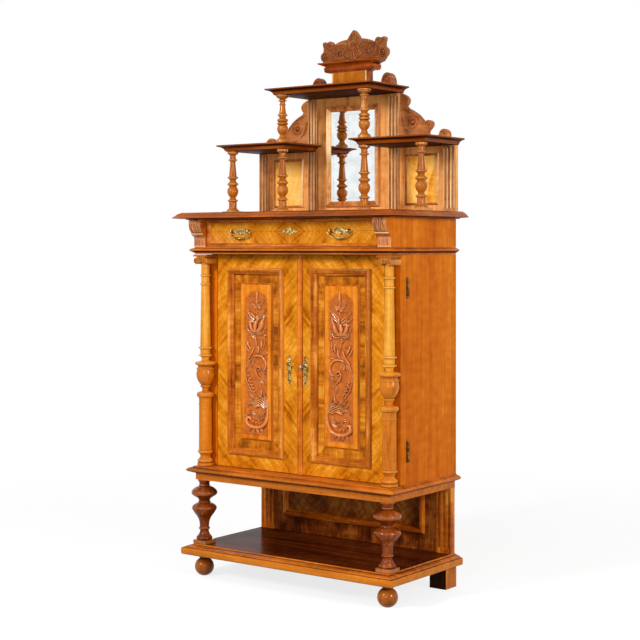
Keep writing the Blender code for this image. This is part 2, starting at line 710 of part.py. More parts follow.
leg_x = CASE_HALF - LEG_INSET
leg_y = DRAWER_PLANE + LEG_SETBACK
ball_top = FOOT_HEIGHT - BALL_NECK_HEIGHT
ball_round = arc((0.0, 0.0), 1.0, BALL_ARC, BALL_STEPS)
ball_low = ball_round[-1][1]
ball_points = [(BALL_NECK_RADIUS, FOOT_HEIGHT - SEAT_GAP)]
ball_points += [(BALL_DIAMETER / 2 * across, ball_top / 2 * (up - ball_low)) for across, up in ball_round]
for side, sign in SIDES.items():
    turned(f"ball_foot_{side}", ball_points, (sign * leg_x, leg_y, 0.0), LARGE_SIDES, "walnut", carcase)
    leg = turned(
        f"front_leg_{side}",
        turned_points(LEG_PROFILE, LEG_HEIGHT - SEAT_GAP, LEG_PLINTH_HEIGHT),
        (sign * leg_x, leg_y, Z_STAND),
        LARGE_SIDES,
        "walnut",
        carcase,
    )
    half_plinth = LEG_PLINTH_WIDTH / 2
    plinth = box(
        f"front_leg_plinth_{side}",
        (sign * leg_x - half_plinth, sign * leg_x + half_plinth),
        (leg_y - half_plinth, leg_y + half_plinth),
        (Z_STAND, Z_STAND + LEG_PLINTH_HEIGHT + JOIN_OVERLAP),
    )
    combine(leg, plinth, "UNION")

    foot_outside = POST_OUTSIDE + BACK_FOOT_OVERHANG
    foot = box(
        f"back_foot_{side}",
        (sign * (foot_outside - BACK_FOOT_WIDTH), sign * foot_outside),
        (BACK - BACK_FOOT_DEPTH, BACK),
        (0.0, Z_BASE - SEAT_GAP),
    )
    post = box(
        f"back_post_{side}",
        (sign * POST_INSIDE, sign * POST_OUTSIDE),
        (post_front, BACK - JOIN_OVERLAP),
        (Z_BASE - JOIN_OVERLAP - BACK_POST_THICKNESS, Z_BOTTOM - SEAT_GAP),
    )
    back_leg = joined(f"back_leg_{side}", [foot, post], "walnut", carcase)
    pitch = BACK_POST_WIDTH / POST_FLUTES
    flutes = flute_cutter(
        f"post_flutes_{side}",
        [sign * (POST_INSIDE + (i + 0.5) * pitch) for i in range(POST_FLUTES)],
        post_front,
        (Z_STAND + POST_FLUTE_END, Z_BOTTOM - POST_FLUTE_END),
        POST_FLUTE_RADIUS,
        POST_FLUTE_DEPTH,
    )
    combine(back_leg, flutes, "DIFFERENCE")

lower_panel_front = post_front + LOWER_PANEL_SETBACK
lower_panel = box(
    "lower_panel_board",
    (-POST_INSIDE + SEAT_GAP, POST_INSIDE - SEAT_GAP),
    (lower_panel_front, lower_panel_front + LOWER_PANEL_THICKNESS),
    (Z_STAND, Z_BOTTOM - SEAT_GAP),
)
lower_frame = framed_moulding(
    "lower_panel_frame",
    (-POST_INSIDE + LOWER_FRAME_MARGIN[0], POST_INSIDE - LOWER_FRAME_MARGIN[0]),
    (Z_STAND + LOWER_FRAME_MARGIN[1], Z_BOTTOM - LOWER_FRAME_TOP_MARGIN),
    lower_panel_front,
    applied_moulding(MOULDING_WIDTH, MOULDING_RISE),
)
joined("lower_back_panel", [lower_panel, lower_frame], "walnut", carcase)

# Carcase boards
moulded_board(
    "carcase_bottom",
    (-CASE_HALF - BOTTOM_OVERHANG[0], CASE_HALF + BOTTOM_OVERHANG[0]),
    DRAWER_PLANE - BOTTOM_OVERHANG[1],
    (Z_BOTTOM, Z_DOORS - SEAT_GAP),
    BOTTOM_EDGE,
    "walnut",
    carcase,
)
drawer_board = moulded_board(
    "drawer_board",
    (-CASE_HALF - DRAWER_BOARD_OVERHANG[0], CASE_HALF + DRAWER_BOARD_OVERHANG[0]),
    DRAWER_PLANE - DRAWER_BOARD_OVERHANG[1],
    (Z_DRAWER_BOARD, Z_DRAWER - SEAT_GAP),
    DRAWER_BOARD_EDGE,
    "walnut",
    carcase,
)
moulded_board(
    "top_board",
    (-CASE_HALF - TOP_OVERHANG[0], CASE_HALF + TOP_OVERHANG[0]),
    DRAWER_PLANE - TOP_OVERHANG[1],
    (Z_TOP, Z_GALLERY - SEAT_GAP),
    TOP_EDGE,
    "walnut",
    carcase,
)
back_front = BACK - CASE_BACK_THICKNESS
box(
    "carcase_back",
    (-CASE_INSIDE + SEAT_GAP, CASE_INSIDE - SEAT_GAP),
    (back_front, BACK),
    (Z_DOORS, Z_TOP - SEAT_GAP),
    "pine",
    carcase,
)
back_rebate = box(
    "back_rebate",
    (-CASE_INSIDE, CASE_INSIDE),
    (back_front - SEAT_GAP, BACK + JOIN_OVERLAP),
    (Z_DRAWER_BOARD - JOIN_OVERLAP, Z_TOP - JOIN_OVERLAP),
)
combine(drawer_board, back_rebate, "DIFFERENCE")
shelf_half = CASE_INSIDE + SHELF_HOUSING_DEPTH
box(
    "inner_shelf",
    (-shelf_half, shelf_half),
    (CASE_FRONT + INNER_SHELF_SETBACK, back_front - SEAT_GAP),
    (INNER_SHELF_Z, INNER_SHELF_Z + INNER_SHELF_THICKNESS),
    "pine",
    carcase,
)


def hinge_leaf_ranges(sign, leaf_y, level, slack):
    """Ranges of a hinge leaf let into the wood, or of its pocket with some slack."""
    return (
        (sign * (CASE_HALF - HINGE_LEAF_WIDTH - slack), sign * (CASE_HALF + slack)),
        leaf_y,
        (level - slack, level + HINGE_HEIGHT + slack),
    )


carcase_leaf_y = (CASE_FRONT, CASE_FRONT + HINGE_LEAF_THICKNESS)
door_leaf_y = (DOOR_BACK - HINGE_LEAF_THICKNESS, DOOR_BACK)
for side, sign in SIDES.items():
    panel = box(
        f"side_panel_{side}",
        (sign * CASE_INSIDE, sign * CASE_HALF),
        (CASE_FRONT, BACK),
        (Z_DOORS, Z_DRAWER_BOARD - SEAT_GAP),
        "honey_veneer",
        carcase,
    )
    housing = (
        (sign * (CASE_INSIDE - JOIN_OVERLAP), sign * (shelf_half + HOUSING_CLEARANCE)),
        (CASE_FRONT + INNER_SHELF_SETBACK - HOUSING_CLEARANCE, BACK + JOIN_OVERLAP),
        (INNER_SHELF_Z - SEAT_GAP, INNER_SHELF_Z + INNER_SHELF_THICKNESS + SEAT_GAP),
    )
    pocket_y = (CASE_FRONT - JOIN_OVERLAP, carcase_leaf_y[1] + SEAT_GAP)
    pockets = [
        hinge_leaf_ranges(sign, pocket_y, level, HOUSING_CLEARANCE) for level in HINGE_LEVELS.values()
    ]
    combine(panel, boxes(f"side_panel_cuts_{side}", [housing, *pockets]), "DIFFERENCE")

    guide_top = Z_DRAWER + GUIDE_HEIGHT
    case_top = Z_TOP - SEAT_GAP
    case_outline = [
        (CASE_HALF, Z_DRAWER), (CASE_HALF, case_top), (CASE_INSIDE, case_top), (CASE_INSIDE, guide_top),
        (CORBEL_INSIDE, guide_top), (CORBEL_INSIDE, Z_DRAWER),
    ]
    if sign < 0:
        case_outline = mirrored(case_outline)
    block_back = DRAWER_PLANE + CORBEL_BLOCK_DEPTH
    drawer_case = outline(
        f"drawer_case_{side}",
        [case_outline],
        BACK - block_back - SEAT_GAP,
        (0.0, (BACK + block_back + SEAT_GAP) / 2, 0.0),
        FRONT_VIEW,
        "honey_veneer",
        carcase,
    )
    combine(drawer_case, back_rebate, "DIFFERENCE")
    corbel_points = stretched(CORBEL_OUTLINE, CORBEL_REACH, DRAWER_SECTION_HEIGHT - SEAT_GAP)
    corbel_outline = [(-x, z) for x, z in smooth(corbel_points)]
    corbel_outline += [(CORBEL_BLOCK_DEPTH, corbel_outline[-1][1]), (CORBEL_BLOCK_DEPTH, 0.0)]
    outline(
        f"corbel_{side}",
        [corbel_outline],
        CORBEL_WIDTH,
        (sign * (CORBEL_INSIDE + CORBEL_WIDTH / 2), DRAWER_PLANE, Z_DRAWER),
        SIDE_VIEW,
        "walnut",
        carcase,
    )

# Doors, their columns and hinges
doors = {side: new_body(f"{side}_door", (sign * HINGE_X, HINGE_Y, Z_DOORS)) for side, sign in SIDES.items()}
bolt_y = (DOOR_FRONT + BOLT_DEPTH, DOOR_FRONT + BOLT_DEPTH + BOLT_THICKNESS)
bolt_z = (KEY_Z + BOLT_RISE, KEY_Z + BOLT_RISE + BOLT_HEIGHT)
bolt_x = (DOOR_MEETING + SEAT_GAP, DOOR_MEETING + SEAT_GAP + BOLT_LENGTH)
bit_y = (DOOR_FRONT + KEY_BIT_DEPTH, DOOR_FRONT + KEY_BIT_DEPTH + KEY_BIT_WIDTH)


def widened(span, slack):
    return (span[0] - slack, span[1] + slack)


for side, sign in SIDES.items():
    door = doors[side]
    frame = box(
        f"{side}_door_frame",
        (sign * DOOR_MEETING, sign * CASE_HALF),
        (DOOR_FRONT, DOOR_BACK),
        DOOR_Z,
        "honey_veneer",
        door,
    )
    panel_middle = sign * PANEL_OFFSET
    panel_x = (panel_middle - PANEL_OPENING_WIDTH / 2, panel_middle + PANEL_OPENING_WIDTH / 2)
    cuts = [(panel_x, (DOOR_FRONT - JOIN_OVERLAP, DOOR_BACK + JOIN_OVERLAP), PANEL_Z)]
    pocket_y = (door_leaf_y[0] - SEAT_GAP, DOOR_BACK + JOIN_OVERLAP)
    cuts += [hinge_leaf_ranges(sign, pocket_y, level, HOUSING_CLEARANCE) for level in HINGE_LEVELS.values()]
    bolt_end = bolt_x[1] + PIVOT_CLEARANCE if sign > 0 else DOOR_MEETING + BOLT_THROW
    cuts.append(
        (
            (sign * (DOOR_MEETING - JOIN_OVERLAP / 2), sign * bolt_end),
            widened(bolt_y, SEAT_GAP),
            widened(bolt_z, SEAT_GAP),
        )
    )
    combine(frame, boxes(f"{side}_door_cuts", cuts), "DIFFERENCE")

    field_front = DOOR_FRONT + PANEL_SINK
    panel_rings = [
        upright_ring(panel_x, PANEL_Z, SEAT_GAP, field_front + PANEL_THICKNESS),
        upright_ring(panel_x, PANEL_Z, SEAT_GAP, field_front),
        upright_ring(panel_x, PANEL_Z, FIELD_BORDER, field_front),
        upright_ring(panel_x, PANEL_Z, FIELD_BORDER + FIELD_RISE / 2, field_front - FIELD_RISE),
    ]
    loft(f"{side}_door_panel", panel_rings, "carved_walnut", door)
    framed_moulding(
        f"{side}_door_moulding",
        widened(panel_x, MOULDING_LAP),
        widened(PANEL_Z, MOULDING_LAP),
        DOOR_FRONT,
        bolection(MOULDING_WIDTH, MOULDING_RISE, MOULDING_LAP),
        "walnut",
        door,
    )

    column_x = sign * (CASE_HALF - COLUMN_INSET)
    column_y = DOOR_FRONT - COLUMN_STANDOFF
    shaft_height = DOOR_Z[1] - DOOR_Z[0] - CAPITAL_HEIGHT / 2
    plinth_radius = COLUMN_PLINTH_DIAMETER / 2
    column_points = turned_points(COLUMN_PROFILE, shaft_height, COLUMN_PLINTH_HEIGHT)
    column_points += [(plinth_radius, COLUMN_PLINTH_HEIGHT), (plinth_radius, 0.0)]
    column = turned(
        f"{side}_column", column_points, (column_x, column_y, DOOR_Z[0]), LARGE_SIDES, "walnut", door
    )
    capital_back = DOOR_FRONT + JOIN_OVERLAP
    half_capital = CAPITAL_WIDTH / 2
    volute_x = half_capital - VOLUTE_RADIUS
    capital_half = [(half_capital, CAPITAL_HEIGHT), (half_capital, CAPITAL_HEIGHT - ABACUS_HEIGHT)]
    capital_half += arc((volute_x, VOLUTE_RADIUS), VOLUTE_RADIUS, VOLUTE_ARC, VOLUTE_STEPS)
    capital_depth = capital_back - column_y + half_capital
    combine(
        column,
        outline(
            f"{side}_capital",
            [capital_half + mirrored(capital_half)],
            capital_depth,
            (column_x, capital_back - capital_depth / 2, DOOR_Z[1] - CAPITAL_HEIGHT),
            FRONT_VIEW,
        ),
        "UNION",
    )
    combine(
        column,
        box(
            f"{side}_column_back",
            (column_x - CAPITAL_WIDTH, column_x + CAPITAL_WIDTH),
            (DOOR_FRONT - SEAT_GAP, DOOR_FRONT + CAPITAL_WIDTH),
            widened(DOOR_Z, CAPITAL_WIDTH),
        ),
        "DIFFERENCE",
    )

    for level_name, level in HINGE_LEVELS.items():
        third = HINGE_HEIGHT / 3
        at_axis = (sign * HINGE_X, HINGE_Y, level)
        bore = HINGE_PIN_RADIUS + PIVOT_CLEARANCE
        barrel = [
            (KNUCKLE_RADIUS, HINGE_HEIGHT), (KNUCKLE_RADIUS, 2 * third), (HINGE_PIN_RADIUS, 2 * third),
            (HINGE_PIN_RADIUS, third), (KNUCKLE_RADIUS, third), (KNUCKLE_RADIUS, 0.0),
        ]
        low, high = third + SEAT_GAP, 2 * third - SEAT_GAP
        tube = [(KNUCKLE_RADIUS, high), (KNUCKLE_RADIUS, low), (bore, low), (bore, high)]
        tongue_x = (sign * (CASE_HALF - JOIN_OVERLAP), sign * (HINGE_X - (KNUCKLE_RADIUS + bore) / 2))
        name = f"{side}_{level_name}_hinge"
        fixed = turned(f"{name}_carcase_leaf", barrel, at_axis, SMALL_SIDES, "aged_brass", carcase)
        fixed_tongues = [
            (tongue_x, carcase_leaf_y, (level + start + SEAT_GAP, level + start + third - SEAT_GAP))
            for start in (0.0, 2 * third)
        ]
        combine(fixed, boxes(f"{name}_fixed_tongues", fixed_tongues), "UNION")
        fixed_plate = boxes(f"{name}_fixed_plate", [hinge_leaf_ranges(sign, carcase_leaf_y, level, 0.0)])
        combine(fixed, fixed_plate, "UNION")
        moving = turned(f"{name}_door_leaf", tube, at_axis, SMALL_SIDES, "aged_brass", door, closed=True)
        moving_tongue = [(tongue_x, door_leaf_y, (level + low + SEAT_GAP, level + high - SEAT_GAP))]
        combine(moving, boxes(f"{name}_moving_tongue", moving_tongue), "UNION")
        moving_plate = boxes(f"{name}_moving_plate", [hinge_leaf_ranges(sign, door_leaf_y, level, 0.0)])
        combine(moving, moving_plate, "UNION")

# Closing strip, key and bolt of the right door
right_door = doors["right"]
box(
    "closing_strip",
    (DOOR_MEETING, DOOR_MEETING + STRIP_WIDTH),
    (DOOR_FRONT - SEAT_GAP - STRIP_RISE, DOOR_FRONT - SEAT_GAP),
    DOOR_Z,
    "walnut",
    right_door,
)
keyhole = rod(
    "keyhole",
    (KEY_OFFSET, DOOR_FRONT - JOIN_OVERLAP, KEY_Z),
    (KEY_OFFSET, DOOR_BACK + JOIN_OVERLAP, KEY_Z),
    KEY_SHAFT_RADIUS + PIVOT_CLEARANCE,
    SMALL_SIDES,
)
lock_pocket = rod(
    "lock_pocket",
    (KEY_OFFSET, bit_y[0] - HOUSING_CLEARANCE, KEY_Z),
    (KEY_OFFSET, DOOR_BACK + JOIN_OVERLAP, KEY_Z),
    LOCK_POCKET_RADIUS,
    LARGE_SIDES,
)
right_frame = bpy.data.objects["right_door_frame"]
combine(right_frame, lock_pocket, "DIFFERENCE")
combine(right_frame, keyhole, "DIFFERENCE")

key_body = new_body("door_key_axis", (KEY_OFFSET, DOOR_FRONT, KEY_Z), right_door)
bow_y = DOOR_FRONT - KEY_STEM - KEY_BOW_RADIUS
bow_points = arc((0.0, 0.0), KEY_BOW_RADIUS, (0, 360), LARGE_SIDES)[:-1]
bow_hole = arc((0.0, 0.0), KEY_BOW_RADIUS - 2 * KEY_BOW_WIRE, (0, 360), LARGE_SIDES)[:-1]
bow = outline(
    "key_bow", [bow_points, bow_hole], 2 * KEY_BOW_WIRE, (KEY_OFFSET, bow_y, KEY_Z), SIDE_VIEW
)
stem = rod(
    "key_stem",
    (KEY_OFFSET, DOOR_FRONT - KEY_STEM - KEY_BOW_WIRE, KEY_Z),
    (KEY_OFFSET, bit_y[1], KEY_Z),
    KEY_SHAFT_RADIUS,
    SMALL_SIDES,
)
bit = box(
    "key_bit",
    (KEY_OFFSET - KEY_BIT_THICKNESS / 2, KEY_OFFSET + KEY_BIT_THICKNESS / 2),
    bit_y,
    (KEY_Z - KEY_BIT_REACH, KEY_Z - KEY_SHAFT_RADIUS / 2),
)
joined("door_key", [stem, bow, bit], "lock_steel", key_body)
bolt_body = new_body("lock_bolt_axis", (bolt_x[0], bolt_y[0], bolt_z[0]), right_door)
box("lock_bolt", bolt_x, bolt_y, bolt_z, "lock_steel", bolt_body)

# Drawer
drawer = new_body("drawer", (0.0, DRAWER_PLANE, Z_DRAWER))
drawer_half = CORBEL_INSIDE - DRAWER_CLEARANCE
drawer_z = (Z_DRAWER + DRAWER_CLEARANCE, Z_TOP - DRAWER_CLEARANCE)
drawer_x = (-drawer_half, drawer_half)
drawer_front_back = DRAWER_PLANE + DRAWER_FRONT_THICKNESS
front_rings = [
    upright_ring(drawer_x, drawer_z, 0.0, drawer_front_back),
    upright_ring(drawer_x, drawer_z, 0.0, DRAWER_PLANE),
    upright_ring(drawer_x, drawer_z, DRAWER_LIP / 4, DRAWER_PLANE),
    upright_ring(drawer_x, drawer_z, DRAWER_LIP, DRAWER_PLANE + DRAWER_FIELD_SINK),
]
loft("drawer_front", front_rings, "honey_veneer", drawer)
box_y = (drawer_front_back + SEAT_GAP, BACK - DRAWER_BACK_SPACE)
box_half = drawer_half - SEAT_GAP
tray = box(
    "drawer_box",
    (-box_half, box_half),
    box_y,
    (Z_DRAWER + SEAT_GAP, Z_DRAWER + SEAT_GAP + DRAWER_BOX_HEIGHT),
    "pine",
    drawer,
)
tray_inside = box(
    "drawer_inside",
    (-box_half + DRAWER_SIDE_THICKNESS, box_half - DRAWER_SIDE_THICKNESS),
    (box_y[0] - JOIN_OVERLAP, box_y[1] - DRAWER_SIDE_THICKNESS),
    (Z_DRAWER + SEAT_GAP + DRAWER_BOTTOM_THICKNESS, Z_TOP),
)
combine(tray, tray_inside, "DIFFERENCE")

# Bail handles of the drawer
handle_z = (drawer_z[0] + drawer_z[1]) / 2 + HANDLE_RISE
field_y = DRAWER_PLANE + DRAWER_FIELD_SINK
plate_front = field_y - SEAT_GAP - HANDLE_PLATE_THICKNESS
pivot_y = plate_front - HANDLE_PIVOT
half_span = HANDLE_SPAN / 2
for side, sign in SIDES.items():
    handle_x = sign * HANDLE_OFFSET
    plate_half = shaped(PLATE_SHAPE, HANDLE_PLATE_WIDTH / 2, HANDLE_PLATE_HEIGHT / 2)
    upper_edge = plate_half + [(-x, z) for x, z in reversed(plate_half[:-1])]
    lower_edge = [(x, -z) for x, z in reversed(upper_edge[1:-1])]
    plate = outline(
        f"handle_plate_{side}",
        [upper_edge + lower_edge],
        HANDLE_PLATE_THICKNESS,
        (handle_x, plate_front + HANDLE_PLATE_THICKNESS / 2, handle_z),
        FRONT_VIEW,
        "aged_brass",
        drawer,
    )
    for end in (-1, 1):
        post_x = handle_x + end * half_span
        post = rod(
            f"handle_post_{side}_{end}",
            (post_x, plate_front + JOIN_OVERLAP, handle_z),
            (post_x, plate_front - HANDLE_POST_LENGTH, handle_z),
            HANDLE_POST_RADIUS,
            SMALL_SIDES,
        )
        combine(plate, post, "UNION")
    eye = rod(
        f"handle_eyes_{side}",
        (handle_x - HANDLE_SPAN, pivot_y, handle_z),
        (handle_x + HANDLE_SPAN, pivot_y, handle_z),
        BAIL_END_RADIUS + PIVOT_CLEARANCE,
        SMALL_SIDES,
    )
    combine(plate, eye, "DIFFERENCE")

    bail_body = new_body(f"bail_{side}_axis", (handle_x, pivot_y, handle_z), drawer)
    end_share = BAIL_END_RADIUS / BAIL_RADIUS
    outer = half_span + HANDLE_POST_RADIUS + BAIL_SHOULDER
    bail_half = [
        (half_span - HANDLE_POST_RADIUS / 2, 0.0, end_share),
        (outer - BAIL_END_RADIUS, 0.0, end_share),
    ]
    bail_half += [(across * outer, -down * BAIL_DROP, share) for across, down, share in BAIL_SHAPE]
    bail_path = bail_half + [(-x, z, share) for x, z, share in reversed(bail_half[:-1])]
    wire = bpy.data.curves.new(f"bail_{side}", "CURVE")
    wire.dimensions = "3D"
    wire.bevel_depth = BAIL_RADIUS
    wire.bevel_resolution = WIRE_RESOLUTION
    wire.use_fill_caps = True
    spline = wire.splines.new("POLY")
    spline.points.add(len(bail_path) - 1)
    for point, (x, z, share) in zip(spline.points, bail_path):
        point.co = (x, 0.0, z, 1.0)
        point.radius = share
    bail = bpy.data.objects.new(f"bail_{side}", wire)
    bail.location = (handle_x, pivot_y, handle_z)
    place(bail, "aged_brass", bail_body)

# Gallery back with its pilasters, panel mouldings and mirror
centre_half = CENTRE_WIDTH / 2
wing_end = centre_half + WING_WIDTH
gallery_top = Z_TOP_SHELF - SEAT_GAP
wing_top = Z_SIDE_SHELF - SEAT_GAP
mirror_x = (-MIRROR_WIDTH / 2, MIRROR_WIDTH / 2)
mirror_z = (Z_GALLERY + MIRROR_SILL, Z_TOP_SHELF - MIRROR_HEAD)
back_half = [
    (wing_end, Z_GALLERY), (wing_end, wing_top), (centre_half, wing_top), (centre_half, gallery_top),
]
gallery_back = outline(
    "gallery_back",
    [back_half + mirrored(back_half)],
    GALLERY_THICKNESS,
    (0.0, BACK - GALLERY_THICKNESS / 2, 0.0),
    FRONT_VIEW,
    "walnut",
    carcase,
)
for side, sign in SIDES.items():
    for name, far_edge, width, top in (
        ("centre", centre_half - JOIN_OVERLAP, CENTRE_PILASTER_WIDTH, gallery_top),
        ("wing", wing_end - JOIN_OVERLAP, WING_PILASTER_WIDTH, wing_top),
    ):
        left = far_edge - width if sign > 0 else -far_edge
        section = fluted_section(width, PILASTER_RISE + JOIN_OVERLAP, GALLERY_FLUTES, GALLERY_FLUTE_RADIUS)
        pilaster = outline(
            f"{name}_pilaster_{side}",
            [section],
            top - Z_GALLERY - JOIN_OVERLAP,
            (left, GALLERY_FRONT + JOIN_OVERLAP, (top + Z_GALLERY) / 2),
            PLAN_VIEW,
        )
        combine(gallery_back, pilaster, "UNION")
    wing_panel_end = wing_end - WING_PILASTER_WIDTH
    wing_frame = framed_moulding(
        f"wing_frame_{side}",
        (sign * (centre_half + WING_FRAME_MARGIN), sign * (wing_panel_end - WING_FRAME_MARGIN)),
        (Z_GALLERY + WING_FRAME_MARGIN, wing_top - WING_FRAME_MARGIN),
        GALLERY_FRONT,
        applied_moulding(WING_FRAME_WIDTH, WING_FRAME_RISE),
    )
    combine(gallery_back, wing_frame, "UNION")

glass_back = GALLERY_FRONT - SEAT_GAP
box("mirror_glass", mirror_x, (glass_back - MIRROR_THICKNESS, glass_back), mirror_z, "mirror", carcase)
glass_cover = MIRROR_THICKNESS + 2 * SEAT_GAP
frame_lap = MIRROR_FRAME_WIDTH - MIRROR_FRAME_LAP
frame_rebate = frame_lap - SEAT_GAP
mirror_section = [(0.0, SEAT_GAP), *shaped(MIRROR_FRAME_SHAPE, MIRROR_FRAME_WIDTH, MIRROR_FRAME_RISE)]
mirror_section += [
    (MIRROR_FRAME_WIDTH, glass_cover), (frame_rebate, glass_cover), (frame_rebate, SEAT_GAP),
]
framed_moulding(
    "mirror_frame",
    widened(mirror_x, frame_lap),
    widened(mirror_z, frame_lap),
    GALLERY_FRONT,
    mirror_section,
    "walnut",
    carcase,
)

# Gallery shelves, balusters and sawn brackets
shelf_front = BACK - SIDE_SHELF_DEPTH
shelf_outside = wing_end + SIDE_SHELF_OVERHANG
inner_line = TOP_SHELF_WIDTH / 2 - INNER_BALUSTER_INSET
shelf_inside = inner_line - SIDE_SHELF_LAP
for side, sign in SIDES.items():
    shelf_x = sorted((sign * shelf_inside, sign * shelf_outside))
    shelf = moulded_board(
        f"side_shelf_{side}",
        shelf_x,
        shelf_front,
        (Z_SIDE_SHELF, Z_UPPER - SEAT_GAP),
        GALLERY_SHELF_EDGE,
        "walnut",
        carcase,
    )
    back_notch = box(
        f"side_shelf_notch_{side}",
        (sign * (shelf_inside - CENTRE_WIDTH / 2), sign * (centre_half + SEAT_GAP)),
        (PILASTER_FRONT - SEAT_GAP, BACK + JOIN_OVERLAP),
        (Z_SIDE_SHELF - JOIN_OVERLAP, Z_UPPER + JOIN_OVERLAP),
    )
    combine(shelf, back_notch, "DIFFERENCE")

    inner_x = sign * inner_line
    outer_x = sign * (wing_end - OUTER_BALUSTER_INSET)
    baluster_y = BACK - BALUSTER_DEPTH
    for name, x in (("inner", inner_x), ("outer", outer_x)):
        baluster = turned(
            f"{name}_baluster_{side}",
            turned_points(LOWER_BALUSTER_PROFILE, LOWER_GALLERY_HEIGHT - SEAT_GAP, BALUSTER_BASE_HEIGHT),
            (x, baluster_y, Z_GALLERY),
            SMALL_SIDES,
            "walnut",
            carcase,
        )
        half_base = BALUSTER_BASE_WIDTH / 2
        base = box(
            f"{name}_baluster_base_{side}",
            (x - half_base, x + half_base),
            (baluster_y - half_base, baluster_y + half_base),
            (Z_GALLERY, Z_GALLERY + BALUSTER_BASE_HEIGHT + JOIN_OVERLAP),
        )
        combine(baluster, base, "UNION")
    turned(
        f"upper_baluster_{side}",
        turned_points(UPPER_BALUSTER_PROFILE, UPPER_GALLERY_HEIGHT - SEAT_GAP),
        (inner_x, baluster_y, Z_UPPER),
        SMALL_SIDES,
        "walnut",
        carcase,
    )

    splat = [(0.0, 0.0), (0.0, SPLAT_HEIGHT)]
    splat += smooth(stretched(SPLAT_OUTLINE, SPLAT_LENGTH, SPLAT_HEIGHT))
    splat += [(SPLAT_LENGTH, 0.0)]
    if sign < 0:
        splat = mirrored(splat)
    outline(
        f"scroll_bracket_{side}",
        [splat],
        SPLAT_THICKNESS,
        (sign * (centre_half + SEAT_GAP), BACK - SPLAT_THICKNESS / 2, Z_UPPER),
        FRONT_VIEW,
        "carved_walnut",
        carcase,
    )

moulded_board(
    "top_shelf",
    (-TOP_SHELF_WIDTH / 2, TOP_SHELF_WIDTH / 2),
    shelf_front,
    (Z_TOP_SHELF, Z_CROWN - SEAT_GAP),
    GALLERY_SHELF_EDGE,
    "walnut",
    carcase,
)

# Crown
pedestal_half = CROWN_PEDESTAL_WIDTH / 2
cornice_low = PEDESTAL_HEIGHT - CORNICE_HEIGHT
die = box(
    "crown_die",
    (-pedestal_half, pedestal_half),
    (BACK - CROWN_PEDESTAL_DEPTH, BACK),
    (Z_CROWN, Z_CREST - CORNICE_HEIGHT / 2),
)
cornice_rings = []
for setback, share in CORNICE_EDGE:
    half = CORNICE_WIDTH / 2 - setback
    near = BACK - CORNICE_DEPTH + setback / 2
    z = Z_CROWN + cornice_low + share * (CORNICE_HEIGHT - SEAT_GAP)
    far = BACK - JOIN_OVERLAP / 2
    cornice_rings.append([(-half, near, z), (half, near, z), (half, far, z), (-half, far, z)])
cornice = loft("crown_cornice", cornice_rings)
scroll_half = stretched(CROWN_SCROLL_OUTLINE, CROWN_SCROLL_SPAN / 2, CROWN_SCROLL_HEIGHT)
scroll_curve = scroll_half[:1] + smooth(scroll_half[1:-1]) + scroll_half[-1:]
scroll_board = outline(
    "crown_scrolls",
    [mirrored(scroll_curve) + scroll_curve],
    CROWN_SCROLL_THICKNESS,
    (0.0, BACK - JOIN_OVERLAP - CROWN_SCROLL_THICKNESS / 2, Z_CROWN),
    FRONT_VIEW,
)
ear_rise = cornice_low - PEDESTAL_EAR_OUTLINE[0][1] + JOIN_OVERLAP
ear_points = [(x, z + ear_rise) for x, z in PEDESTAL_EAR_OUTLINE]
ear_depth = CROWN_PEDESTAL_DEPTH - JOIN_OVERLAP
ears = outline(
    "crown_ears",
    [mirrored(ear_points) + ear_points],
    ear_depth,
    (0.0, BACK - 2 * JOIN_OVERLAP - ear_depth / 2, Z_CROWN),
    FRONT_VIEW,
)
joined("crown_pedestal", [die, cornice, scroll_board, ears], "walnut", carcase)

crest_half = smooth(stretched(CREST_OUTLINE, CREST_WIDTH / 2, CREST_HEIGHT))
outline(
    "crown_crest",
    [crest_half + mirrored(crest_half)[:-1]],
    CREST_THICKNESS,
    (0.0, BACK - CREST_THICKNESS / 2, Z_CREST),
    FRONT_VIEW,
    "carved_walnut",
    carcase,
)
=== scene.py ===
"""Looks of the vertiko cabinet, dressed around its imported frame. Metres, front along -Y."""

import json
import math

import bmesh
import bpy
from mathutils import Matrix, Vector


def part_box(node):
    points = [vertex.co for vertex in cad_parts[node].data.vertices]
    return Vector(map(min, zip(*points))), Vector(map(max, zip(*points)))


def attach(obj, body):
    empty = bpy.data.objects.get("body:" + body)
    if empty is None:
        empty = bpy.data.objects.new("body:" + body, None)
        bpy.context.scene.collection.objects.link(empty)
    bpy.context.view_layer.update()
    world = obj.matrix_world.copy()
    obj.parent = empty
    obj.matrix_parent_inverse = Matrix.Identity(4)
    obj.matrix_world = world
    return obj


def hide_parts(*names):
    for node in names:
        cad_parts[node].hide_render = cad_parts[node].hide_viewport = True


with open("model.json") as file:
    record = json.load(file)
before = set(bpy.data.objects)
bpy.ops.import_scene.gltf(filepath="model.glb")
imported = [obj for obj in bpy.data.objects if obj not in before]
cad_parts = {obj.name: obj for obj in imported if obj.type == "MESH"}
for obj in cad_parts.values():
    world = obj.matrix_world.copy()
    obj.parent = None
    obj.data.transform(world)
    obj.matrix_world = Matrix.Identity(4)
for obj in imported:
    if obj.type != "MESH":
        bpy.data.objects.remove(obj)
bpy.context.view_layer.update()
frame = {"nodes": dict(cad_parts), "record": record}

BODY_OF = {n: body for body, nodes in frame["record"]["behaviour"]["bodies"].items() for n in nodes}
SIDES = {"left": -1, "right": 1}
MM = 0.001
SEAT_GAP = 0.0003

# Planes and places that several pieces share
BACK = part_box("carcase_back")[1].y
DOOR_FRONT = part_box("right_door_frame")[0].y
DOOR_MIDDLE_Z = (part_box("right_door_frame")[0].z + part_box("right_door_frame")[1].z) / 2
GALLERY_FRONT = 0.2355
DRAWER_MIDDLE_Z = 1.3325

